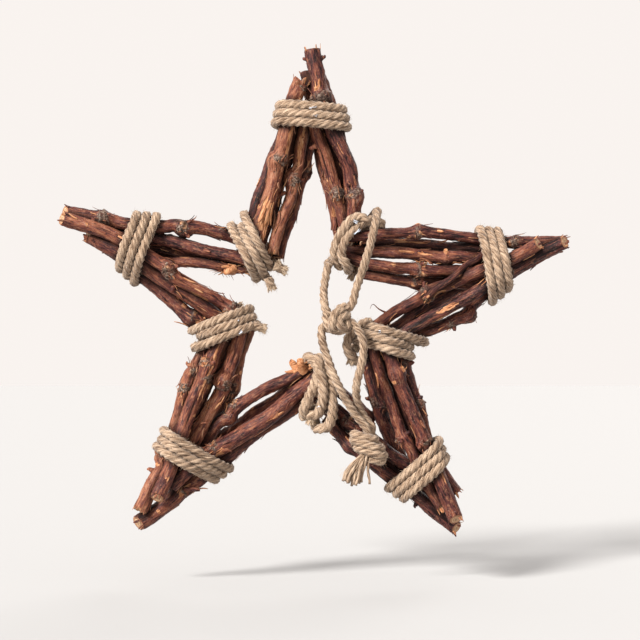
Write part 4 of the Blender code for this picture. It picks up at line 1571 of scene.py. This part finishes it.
class Canes:
    """All the canes of the star, leg by leg."""

    END_KINDS: ClassVar[tuple[End, ...]] = (End.SAWN, End.SLANTED, End.TORN, End.SAWN)
    FACING_AT: ClassVar[tuple[Pixel, ...]] = (  # cut faces in the photograph
        (160, 497), (139, 522), (98, 231), (66, 213), (455, 523), (437, 509), (537, 243),
        (565, 242), (297, 362), (306, 372), (316, 376),
    )
    NEAR = 11.0  # pixels from such a face within which it is this cane's end
    PLUMP = 1.10  # reach of most canes' bark, as a share of their solids' corners
    FULLER: ClassVar[dict[str, float]] = {"left_lower": 1.20, "foot_left_inner": 1.18, "left_upper": 1.16}
    BACKING: ClassVar[dict[str, float]] = dict.fromkeys(  # and of the guessed canes that lie next to the wall
        ("top_left_5", "top_right_5", "right_lower_5", "foot_right_outer_5", "foot_left_outer_5"), 1.26
    )

    def __init__(self, nodes: Nodes, viewpoint: Viewpoint) -> None:
        """Reads the canes' lines and puts the photograph's marks on them.

        Args:
            nodes: The CAD nodes.
            viewpoint: Where the photograph was taken from.
        """
        self.viewpoint = viewpoint
        self.legs: dict[str, Leg] = {name: Leg() for name in LEG_TONES}
        canes = sorted(name.removeprefix("cane_") for name in nodes if name.startswith("cane_"))
        for number, name in enumerate(canes):
            leg = name.rsplit("_", 1)[0]
            rng = np.random.default_rng([SEED, number])
            tone = CANE_TONES.get(name, LEG_TONES[leg] + rng.uniform(-0.14, 0.14))
            plump = self.BACKING.get(name, self.FULLER.get(leg, self.PLUMP))
            route = Route.of_node(nodes[f"cane_{name}"], CANE_SIDES)
            self.legs[leg].twigs.append(Twig(name, route, tone, rng, plump))
        for name, marks in MARKS.items():
            for mark in marks:
                self.legs[name].put(mark, viewpoint)

    def build(self, finishes: Finishes, ropes: Sequence[Route]) -> None:
        """Makes every cane.

        Args:
            finishes: The materials.
            ropes: The lines of the ropes that lie on the canes.
        """
        twigs = [twig for leg in self.legs.values() for twig in leg.twigs]
        for twig in twigs:
            twig.paint_gap_shade([other.route for other in twigs if other is not twig] + list(ropes))
            twig.build(finishes, (self.end_kind(twig, 0), self.end_kind(twig, -1)))

    def end_kind(self, twig: Twig, end: int) -> End:
        """How a cane ends: the cut faces that the photograph shows look to the front.

        Args:
            twig: The cane.
            end: 0 for its start, -1 for its end.

        Returns:
            The kind of end.
        """
        seen = self.viewpoint.seen_at(twig.route.points[end][None])
        apart = np.linalg.norm(seen - np.array(self.FACING_AT), axis=1)
        drawn = self.END_KINDS[int(twig.rng.integers(0, len(self.END_KINDS)))]
        return End.FACING if apart.min() < self.NEAR else drawn


# ---------------- the ropes


@dataclass
class Rope:
    """Three-strand jute rope along a line.

    Attributes:
        name: The piece's name.
        route: Its line.
        radius: Its half thickness over the strands.
        rng: Source of its random numbers.
        step: Length between its rings of points.
        sides: Points in a ring.
        lay: Length in which a strand goes once round.
        strands: How many strands it has.
        hairs: How many hairs a metre of it has.
        hair_length: Shortest and longest hair.
    """

    STRAND_AXIS = 0.536  # from the rope's middle to a strand's, as a share of the radius
    STRAND_RADIUS = 0.464  # of a strand, as a share of the radius
    YARN_RELIEF = 0.00022
    HAIR_RADII: ClassVar[tuple[float, ...]] = (0.00011, 0.00009, 0.00004)  # from root to tip

    name: str
    route: Route
    radius: float
    rng: Random
    step: float = 0.00125
    sides: int = 27
    lay: float = 0.0215
    strands: int = 3
    hairs: float = 1500.0
    hair_length: tuple[float, float] = (0.0018, 0.0052)

    def __post_init__(self) -> None:
        """Cuts the line into even steps."""
        self.route = self.route.even(self.step)
        self.along = self.route.along()
        self.across, self.up = self.route.frames()
        self.start = self.rng.uniform(0, TURN)

    def turn_at(self, along: Array) -> Array:
        """How far the strands have turned, in radians."""
        return self.start - TURN * along / self.lay

    def profile(self, along: Array, angles: Array) -> tuple[Array, Array]:
        """The rope's shape round its line.

        Args:
            along: Lengths from the start.
            angles: Angles round the line.

        Returns:
            The share of the full radius, and how deep each place is in a furrow.
        """
        third = TURN / self.strands
        turned = angles[None] - self.turn_at(along)[:, None]
        aside = (turned + 0.5 * third) % third - 0.5 * third
        inside = np.maximum(self.STRAND_RADIUS**2 - (self.STRAND_AXIS * np.sin(aside)) ** 2, 0.0)
        share = self.STRAND_AXIS * np.cos(aside) + np.sqrt(inside)
        seam = np.exp(-((aside / (0.10 * third)) ** 2))
        share = np.maximum(share, 0.78) - 0.030 * seam
        furrow = np.clip((np.abs(aside) / (0.5 * third) - 0.55) / 0.45, 0.0, 1.0) ** 1.5
        return share, np.maximum(furrow, 0.42 * seam)

    def build(self, surface: Surface) -> None:
        """Adds the rope and its hairs to a piece.

        Args:
            surface: The piece.
        """
        angles = TURN * np.arange(self.sides) / self.sides
        share, furrow = self.profile(self.along, angles)
        yarns = draw_waves(self.rng, self.along, angles, (7, 13), (0.012, 0.05), 14)
        slack = draw_waves(self.rng, self.along, angles, (0, 1), (0.02, 0.08), 6)
        thick = self.radius * self.route.radii / np.median(self.route.radii)
        reach = thick[:, None] * share * (1 + 0.025 * slack) + self.YARN_RELIEF * yarns
        rings = self.route.points[:, None] + spokes(self.across, self.up, angles) * reach[..., None]
        untwist = angles[None] + 0.45 * TURN * self.along[:, None] / self.lay
        grain = np.stack([np.cos(untwist), np.sin(untwist), np.zeros(untwist.shape)], axis=2) * self.radius
        grain[..., 2] = self.along[:, None]
        grain += self.rng.uniform(0, 1, 3)
        surface.add_tube(rings, grain, cleft=furrow)
        self.add_hairs(surface)

    def add_hairs(self, surface: Surface) -> None:
        """Adds the fine fibres that stand off the rope.

        Args:
            surface: The piece.
        """
        for _ in range(int(self.hairs * self.along[-1])):
            k = int(self.rng.integers(2, len(self.along) - 2))
            angle = self.rng.uniform(0, TURN)
            out = math.cos(angle) * self.across[k] + math.sin(angle) * self.up[k]
            way = unit(self.route.points[k + 1] - self.route.points[k]) * self.rng.choice([-1.0, 1.0])
            lead = unit(way * self.rng.uniform(0.3, 1.4) + np.cross(out, way) * self.rng.normal(0, 0.6))
            length = self.rng.uniform(*self.hair_length)
            share = np.array([[0.0], [0.5], [1.0]])
            points = self.route.points[k] + out * self.radius * 0.86
            points = points + lead * length * share
            points = points + out * length * self.rng.uniform(0.1, 0.8) * share**1.5
            surface.add_thin(Route(points, np.array(self.HAIR_RADII)), 3, material=1)


@dataclass
class Fray:
    """The unlaid end of a rope: a bunch of yarns that spread from where the rope stops.

    Attributes:
        place: Where the rope stops.
        way: The way that the rope led there.
        length: How far the yarns reach.
        spread: How far they spread, as a share of their length.
        yarns: How many there are.
        rng: Source of its random numbers.
        rope_radius: The rope's half thickness.
        yarn_radius: A yarn's half thickness.
    """

    GOLDEN = 2.399963  # turn between yarns, in radians, that spreads them evenly
    ROOT = 0.003  # of each yarn inside the rope
    FIBRES = 70
    FIBRE_RADII: ClassVar[tuple[float, ...]] = (0.00012, 0.0001, 0.00008, 0.00004)  # from root to tip

    place: Array
    way: Array
    length: float
    spread: float
    yarns: int
    rng: Random
    rope_radius: float = 0.0038
    yarn_radius: float = 0.0008

    def build(self, surface: Surface) -> None:
        """Adds the yarns to a piece.

        Args:
            surface: The piece.
        """
        across = square_to(self.way)
        up = np.cross(self.way, across)
        share = np.linspace(0, 1, 9)[:, None]
        for number in range(self.yarns):
            angle = self.GOLDEN * number
            ring = math.sqrt((number + 0.5) / self.yarns)
            out = math.cos(angle) * across + math.sin(angle) * up
            side = np.cross(self.way, out)
            reach = self.length * self.rng.uniform(0.7, 1.1)
            wave = 0.0005 * np.sin(share * self.rng.uniform(5, 9) + angle)
            points = self.place - self.way * self.ROOT + self.way * (reach + self.ROOT) * share
            points = points + out * (0.72 * self.rope_radius * ring + self.spread * reach * ring * share**1.6)
            points = points + side * (wave + 0.12 * reach * self.rng.normal() * share**2)
            points[:, 2] -= 0.08 * reach * share[:, 0] ** 2
            radii = self.yarn_radius * self.rng.uniform(0.75, 1.15) * (1.0 - 0.35 * share[:, 0] ** 3)
            furrow = 0.25 * share.repeat(6, axis=1) ** 2
            surface.add_thin(Route(points, radii), 6, material=1, cleft=furrow)

    def add_fuzz(self, surface: Surface) -> None:
        """Adds fine loose fibres all round the end.

        Args:
            surface: The piece.
        """
        share = np.linspace(0, 1, 4)[:, None]
        for _ in range(self.FIBRES):
            out = unit(self.rng.normal(0, 1, 3))
            out = out - self.way * (out @ self.way)
            start = self.place + out * self.rope_radius * 0.8
            start = start + self.way * self.rng.uniform(-0.004, self.length)
            reach = self.rng.uniform(0.002, 0.005)
            lead = unit(self.way * self.rng.uniform(0.0, 1.2) + out * 0.8 + self.rng.normal(0, 0.3, 3))
            points = start + lead * reach * share
            points[:, 2] -= 0.25 * reach * share[:, 0] ** 2
            surface.add_thin(Route(points, np.array(self.FIBRE_RADII)), 3, material=1)


@dataclass(frozen=True)
class Detail:
    """Glue or a cut rope end that the photograph shows on a binding.

    Attributes:
        node: The binding.
        x: Pixels to the right in the photograph.
        y: Pixels down.
        length: Its length in millimetres.
        toward: Degrees that it leads, seen from the front, anticlockwise from the right.
    """

    node: str
    x: float
    y: float
    length: float
    toward: float


# Strings of glue, and cut rope ends where they come out from under the turns.
GLINTS: tuple[Detail, ...] = (
    Detail("binding_point_top", 313, 108, 9, 15),
    Detail("binding_point_top", 315, 116, 7, 0),
    Detail("binding_corner_upper_right", 355, 222, 8, 150),
    Detail("binding_corner_upper_right", 357, 231, 9, 35),
    Detail("binding_corner_right", 380, 330, 6, 200),
    Detail("binding_corner_bottom", 320, 405, 7, 60),
    Detail("binding_corner_left", 237, 322, 6, 20),
    Detail("binding_corner_left", 241, 332, 6, 30),
)
LOOSE_ENDS: tuple[Detail, ...] = (
    Detail("binding_corner_upper_left", 279, 268, 8, -20),
    Detail("binding_corner_upper_left", 270, 283, 7, -70),
    Detail("binding_corner_right", 352, 357, 7, -95),
    Detail("binding_corner_bottom", 312, 416, 8, -100),
    Detail("binding_corner_left", 259, 327, 7, -15),
)

# Passes that it shows beside the solid's turns, under which they are lost at both ends: the pixels on the
# line of a third pass over the lower middle corner, and of a loose bight beside the right corner.
PASSES: dict[str, tuple[Pixel, ...]] = {
    "binding_corner_bottom": (
        (318, 356), (319, 366), (317, 378), (313, 389), (308, 400), (304, 409), (304, 418),
    ),
    "binding_corner_right": (
        (370, 321), (361, 325), (353, 331), (348, 339), (347, 348), (351, 356), (358, 362),
    ),
}


class Lashings:
    """The ropes that bind the canes."""

    CORD_BACK = "hanging_cord_back"
    RADIUS = 0.0049
    WIDER: ClassVar[dict[str, float]] = {"binding_corner_bottom": 0.0056}
    HIDDEN: ClassVar[dict[str, int]] = {"binding_corner_left": 20}  # millimetres under its other turns
    LINE_STEP = 0.001
    TUCK = 0.012  # length over which a rope's end is pressed thin under its neighbours
    PRESSED = 0.60  # share of its thickness that is left at the very end
    CUT_REACH = 0.0030  # of the yarns at a tucked end
    CUT_YARNS = 14
    CUT_SPREAD = 0.35
    LOOSE_YARNS = 46  # of a loose end
    LOOSE_SPREAD = 0.42
    LOOSE_YARN_RADIUS = 0.0006
    LOOSE_HAIRS = 4000.0  # on a metre of it
    PASS_DIP = 0.010  # how far an added pass's ends lie behind its middle
    STUB = 0.006  # length of a loose end that is still under the turns
    STUB_POINTS = 8
    GLUE_THREADS = 4  # at each glint
    GLUE_FRONT = 0.0044  # from a rope's line to the glue on its front

    def __init__(self, nodes: Nodes, viewpoint: Viewpoint) -> None:
        """Reads the bindings' lines.

        Args:
            nodes: The CAD nodes.
            viewpoint: Where the photograph was taken from.
        """
        self.viewpoint = viewpoint
        names = sorted(name for name in nodes if name.startswith("binding_"))
        self.ropes: dict[str, Rope] = {}
        for number, name in enumerate([*names, self.CORD_BACK]):
            rng = np.random.default_rng([SEED, 100 + number])
            route = Route.of_node(nodes[name], CANE_SIDES).smooth(self.LINE_STEP, through=False)
            hidden = self.HIDDEN.get(name, 0)
            route = Route(route.points[hidden:], route.radii[hidden:])
            if name != self.CORD_BACK:
                edge = np.minimum(route.along(), route.along()[-1] - route.along())
                full = np.clip(edge / self.TUCK, 0.0, 1.0)
                route.radii = route.radii * (self.PRESSED + (1 - self.PRESSED) * full)
            radius = self.WIDER.get(name, self.RADIUS)
            self.ropes[name] = Rope(name.replace("binding", "lashing"), route, radius, rng)

    def front_place(self, rope: Rope, x: float, y: float) -> tuple[Array, Array]:
        """Finds what shows of a rope at a pixel.

        Args:
            rope: The rope.
            x: Pixels to the right.
            y: Pixels down.

        Returns:
            The place, and the rope's way there.
        """
        points = rope.route.points
        apart = np.linalg.norm(self.viewpoint.seen_at(points) - np.array([x, y]), axis=1)
        k = int((apart + 0.6 * (points[:, 1] - points[:, 1].min()) / MM).argmin())
        size = self.viewpoint.pixel_size(points[k, 1])
        aside = (np.array([x, y]) - self.viewpoint.seen_at(points[k : k + 1])[0]) * size
        place = points[k] + np.array([aside[0], 0.0, -aside[1]])
        return place, rope.route.ways()[k]

    def build(self, finishes: Finishes) -> None:
        """Makes every binding.

        Args:
            finishes: The materials.
        """
        for node, rope in self.ropes.items():
            surface = Surface(rope.name)
            rope.build(surface)
            ways = rope.route.ways()
            for place, way in ((rope.route.points[0], -ways[0]), (rope.route.points[-1], ways[-1])):
                if node != self.CORD_BACK:
                    cut = Fray(place, way, self.CUT_REACH, self.CUT_SPREAD, self.CUT_YARNS, rope.rng)
                    cut.build(surface)
            for end in LOOSE_ENDS:
                if end.node == node:
                    self.hang_end(surface, rope, end)
            if node in PASSES:
                self.add_pass(surface, rope, node)
            surface.make(finishes.roping, ROPE_SLOT, node)

    def add_pass(self, surface: Surface, rope: Rope, node: str) -> None:
        """Adds the pass that shows beside a binding's other turns.

        Args:
            surface: The binding.
            rope: The binding's rope.
            node: Its CAD node.
        """
        places = np.array([self.front_place(rope, x, y)[0] for x, y in PASSES[node]])
        places[:, 1] = places[1:-1, 1].mean() + self.PASS_DIP * np.abs(np.linspace(-1, 1, len(places))) ** 3
        line = Route(places, np.full(len(places), self.RADIUS)).smooth(self.LINE_STEP, through=True)
        Rope("pass", line, self.WIDER.get(node, self.RADIUS), rope.rng).build(surface)

    def hang_end(self, surface: Surface, rope: Rope, end: Detail) -> None:
        """Adds a cut end that comes out from under the turns.

        Args:
            surface: The binding.
            rope: The binding's rope.
            end: Where the end shows.
        """
        place, _ = self.front_place(rope, end.x, end.y)
        way = unit(heading(end.toward, 0.25))
        start = place - way * self.STUB + np.array([0.0, 0.002, 0.0])
        length = 0.35 * end.length * MM + self.STUB
        share = np.linspace(0, 1, self.STUB_POINTS)[:, None]
        stub = Route(start + way * length * share, np.full(self.STUB_POINTS, self.RADIUS))
        Rope("stub", stub, self.RADIUS, rope.rng, hairs=self.LOOSE_HAIRS).build(surface)
        length = 0.72 * end.length * MM
        values = (self.LOOSE_SPREAD, self.LOOSE_YARNS, rope.rng, self.RADIUS, self.LOOSE_YARN_RADIUS)
        fray = Fray(stub.points[-1], way, length, *values)
        fray.build(surface)
        fray.add_fuzz(surface)

    def add_glints(self, finishes: Finishes) -> None:
        """Makes the strings of glue on the ropes.

        Args:
            finishes: The materials.
        """
        surface = Surface("glue_strings")
        for number, glint in enumerate(GLINTS):
            rng = np.random.default_rng([SEED, 200 + number])
            place, _ = self.front_place(self.ropes[glint.node], glint.x, glint.y)
            for thread in range(self.GLUE_THREADS):
                way = heading(glint.toward + rng.normal(0, 14))
                share = np.linspace(-0.5, 0.5, 9)[:, None]
                length = glint.length * MM * rng.uniform(0.5, 1.0)
                front = place[1] - self.GLUE_FRONT + 0.0012 * np.abs(np.sin(share * 5 + thread))
                points = place + way * length * share + np.array([0.0, 0.0, 1.0]) * rng.normal(0, 0.0012)
                points[:, 1] = front[:, 0]
                radii = rng.uniform(0.00018, 0.00045) * np.cos(share[:, 0] * 2.6) + 0.00005
                surface.add_thin(Route(points, radii), 6, 0.7)
        surface.make((finishes.glue,), ROPE_SLOT)


# The turns of the half knot, in millimetres from its middle: across, depth and up.
HITCH_TURNS: tuple[tuple[Place, ...], ...] = (
    (
        (8, 3, 6), (5, -3, 10), (0, -8, 10), (-4, -10, 5), (-5, -10, -2), (-5, -7, -7),
        (-1, -1, -9), (4, 4, -8),
    ),
    (
        (-11, 2, 7), (-11, -3, 2), (-9, -5, -4), (-4, -4, -8), (3, -3, -9), (8, -4, -7),
        (10, -3, -2), (9, 2, 3),
    ),
    (
        (10, 2, 6), (7, -5, 6), (2, -8, 3), (2, -9, -3), (5, -6, -7), (9, -1, -8),
        (11, 4, -5),
    ),
)


class HangingCord:
    """The cord's two free strands, the half knot that they make and the knot that joins their ends."""

    DIAMETER = 0.008  # of the cord's bare rope
    RADIUS = 0.0044  # over the strands' bulges
    HITCH_RADIUS = 0.0046
    HITCH_REACH = 0.013  # from the half knot's middle to where the strands are thin again
    HITCH_ABOVE = 0.08  # least height of the half knot over the end knot
    HITCH_CLOSE = 0.012  # how close the strands' lines come in it
    LINE_STEP = 0.001
    PATH_STEP = 0.004
    HAIR_LENGTH: ClassVar[tuple[float, float]] = (0.0012, 0.0028)  # short, so that they stay near the strand
    LED = 8  # points of the line that leads a strand on into the end knot
    LENGTHS: ClassVar[dict[str, float]] = {"hanging_cord_left": 0.21, "hanging_cord_right": 0.29}

    def __init__(self, nodes: Nodes) -> None:
        """Reads the strands' lines.

        Args:
            nodes: The CAD nodes.
        """
        self.routes: dict[str, Route] = {}
        for node in self.LENGTHS:
            route = Route.of_node(nodes[node], STRAND_SIDES)
            if route.points[0, 2] < route.points[-1, 2]:
                route = Route(route.points[::-1], route.radii[::-1])
            self.routes[node] = self.into_knot(route.smooth(self.LINE_STEP, through=False))
        self.hitch = self.crossing()

    @classmethod
    def into_knot(cls, route: Route) -> Route:
        """Leads a strand's line on into the end knot.

        Args:
            route: The strand's line.

        Returns:
            The longer line.
        """
        heart = EndKnot.heart() + np.array([-0.002, 0.0, 0.006])
        way = route.ways()[-1]
        share = np.linspace(0, 1, cls.LED + 1)[1:, None]
        start = route.points[-1]
        bend = start + way * 0.006
        led = start * (1 - share) ** 2 + 2 * bend * share * (1 - share) + heart * share**2
        radii = np.append(route.radii, np.full(cls.LED, route.radii[-1]))
        return Route(np.vstack([route.points, led]), radii)

    def crossing(self) -> Array:
        """Finds where the strands come closest above the end knot.

        Returns:
            The middle of the half knot.
        """
        floor = EndKnot.heart()[2] + self.HITCH_ABOVE
        high = [route.points[route.points[:, 2] > floor] for route in self.routes.values()]
        apart = np.linalg.norm(high[0][:, None] - high[1][None], axis=2)
        rows, columns = np.nonzero(apart < self.HITCH_CLOSE)
        return 0.5 * (high[0][rows].mean(0) + high[1][columns].mean(0))

    def tie_hitch(self, finishes: Finishes) -> Object:
        """Makes the tight turns of the half knot.

        Args:
            finishes: The materials.

        Returns:
            The half knot.
        """
        surface = Surface("cord_hitch")
        rng = np.random.default_rng([SEED, 350])
        for turn in HITCH_TURNS:
            points = self.hitch + np.array(turn) * MM
            route = Route(points, np.full(len(points), self.RADIUS)).smooth(self.LINE_STEP, through=True)
            Rope("turn", route, self.HITCH_RADIUS, rng).build(surface)
        return surface.make(finishes.roping, ROPE_SLOT)

    def build(self, finishes: Finishes) -> None:
        """Args:
            finishes: The materials.
        """
        knot = EndKnot().build(finishes)
        hitch = self.tie_hitch(finishes)
        for number, (node, length) in enumerate(self.LENGTHS.items()):
            rng = np.random.default_rng([SEED, 300 + number])
            rope = Rope(node.replace("hanging_", ""), self.routes[node], self.RADIUS, rng)
            rope.hair_length = self.HAIR_LENGTH
            near = np.linalg.norm(rope.route.points - self.hitch, axis=1) / self.HITCH_REACH
            rope.route.radii = rope.route.radii * (1 + 0.10 * np.exp(-(near**4)))
            surface = Surface(rope.name)
            rope.build(surface)
            piece = surface.make(finishes.roping, ROPE_SLOT, node)
            tuple(rope.route.points[0])
            [tuple(point) for point in rope.route.even(self.PATH_STEP).points]


@dataclass
class EndKnot:
    """The knot at the cord's end: slanting wraps of rope over a tassel of yarns.

    Attributes:
        node: Its CAD node.
        rope_radius: Half thickness of the rope that is wound into it.
        winds: How often that goes round.
        wind_points: Points on its line.
        barrel: Reach of the wraps across, in depth and up, half the knot's size less the rope.
        core_radius: Half thickness of the rope inside the wraps.
        tassel_yarns: Yarns that hang out of it.
        tassel_hairs: Single fibres among them.
        hair_radius: Half thickness of such a fibre.
    """

    node: str = "end_knot"
    rope_radius: float = 0.0047
    winds: float = 3.4
    wind_points: int = 60
    barrel: Place = (0.0148, 0.0128, 0.0120)
    core_radius: float = 0.0112
    tassel_yarns: int = 13
    tassel_hairs: int = 26
    hair_radius: float = 0.00012

    @classmethod
    def heart(cls) -> Array:
        """The middle of the knot's wraps."""
        low, high = (np.array(corner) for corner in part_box(cls.node))
        return np.array([high[0] - 0.0180, 0.5 * (low[1] + high[1]), high[2] - 0.0165])

    def build(self, finishes: Finishes) -> Object:
        """Makes the knot.

        Args:
            finishes: The materials.

        Returns:
            The knot.
        """
        rng = np.random.default_rng([SEED, 400])
        middle = self.heart()
        surface = Surface("cord_knot")
        wrap = Rope("wrap", self.wrap_line(middle), self.rope_radius, rng)
        wrap.build(surface)
        share = np.linspace(-1.0, 1.0, 21)[:, None]
        core = middle + share * np.array([0.005, 0.0, -0.0125])
        line = Route(core, 1.0 - 0.35 * share[:, 0] ** 2)
        Rope("core", line, self.core_radius, rng, hairs=0.0).build(surface)
        self.add_tassel(surface, middle, rng)
        return surface.make(finishes.roping, ROPE_SLOT, self.node)

    def wrap_line(self, middle: Array) -> Route:
        """Winds the line of the rope that makes the knot.

        Args:
            middle: The knot's middle.

        Returns:
            The line.
        """
        turn = np.linspace(0.0, self.winds, self.wind_points)
        share = turn / self.winds
        angle = TURN * turn + 0.9
        bulge = 1.0 - 0.42 * np.abs(2 * share - 1) ** 2.0
        x = self.barrel[0] * bulge * np.sin(angle)
        y = self.barrel[1] * bulge * np.cos(angle)
        z = self.barrel[2] - 2 * self.barrel[2] * share - 0.40 * x
        lean = 0.0035 * (2 * share - 1)
        radii = np.full(self.wind_points, self.rope_radius)
        return Route(middle + np.stack([x + lean, y, z], axis=1), radii)

    def add_tassel(self, surface: Surface, middle: Array, rng: Random) -> None:
        """Adds the yarns that hang out of the knot.

        Args:
            surface: The knot.
            middle: Its middle.
            rng: Source of the random numbers.
        """
        root = middle + np.array([-0.0035, -0.0075, -0.0065])
        share = np.linspace(0, 1, 14)[:, None]
        for number in range(self.tassel_yarns):
            spread = number / (self.tassel_yarns - 1)
            depth = rng.uniform(-0.004, 0.006)
            tip = root + np.array([-0.0225 + 0.0205 * spread, depth, -0.0300 + 0.002 * spread])
            tip[2] += rng.uniform(-0.003, 0.002) + 0.004 * (spread < 0.2)
            if number == self.tassel_yarns - 1:
                tip[0] += 0.006
            start = root + np.array([0.005 * (spread - 0.5), rng.uniform(-0.002, 0.002), 0.0])
            side = np.array([0.0007, 0.0005, 0.0]) * np.sin(share * rng.uniform(6, 10) + number)
            points = start + (tip - start) * share + side * share
            points[:, 0] += -0.0035 * (1 - spread) * np.sin(math.pi * share[:, 0])
            radii = rng.uniform(0.0012, 0.0016) * (1.0 + 0.12 * np.sin(20 * share[:, 0] + number))
            dark = 0.6 * np.clip(share - 0.82, 0, 1).repeat(7, axis=1) / 0.18
            surface.add_thin(Route(points, radii), 7, cleft=dark)
        for _ in range(self.tassel_hairs):
            reach = rng.uniform((-0.026, -0.005, -0.030), (0.004, 0.004, -0.014))
            points = root + reach * share + 0.0012 * np.sin(share * 5) * rng.normal(0, 1, 3)
            surface.add_thin(Route(points, np.full(len(points), self.hair_radius)), 3, material=1)


# ---------------- the whole star


def main() -> None:
    """Builds the star piece by piece."""
    logging.basicConfig(level=logging.INFO, format="%(message)s")
    for thing in list(bpy.data.objects):
        bpy.data.objects.remove(thing, do_unlink=True)
    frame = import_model()
    nodes = frame["nodes"]
    viewpoint = Viewpoint()
    viewpoint.make()
    finishes = Finishes()
    HangingCord(nodes).build(finishes)
    lashings = Lashings(nodes, viewpoint)
    lashings.build(finishes)
    lashings.add_glints(finishes)
    Canes(nodes, viewpoint).build(finishes, [rope.route for rope in lashings.ropes.values()])
    Studio().make()


if __name__ == "__main__":
    main()
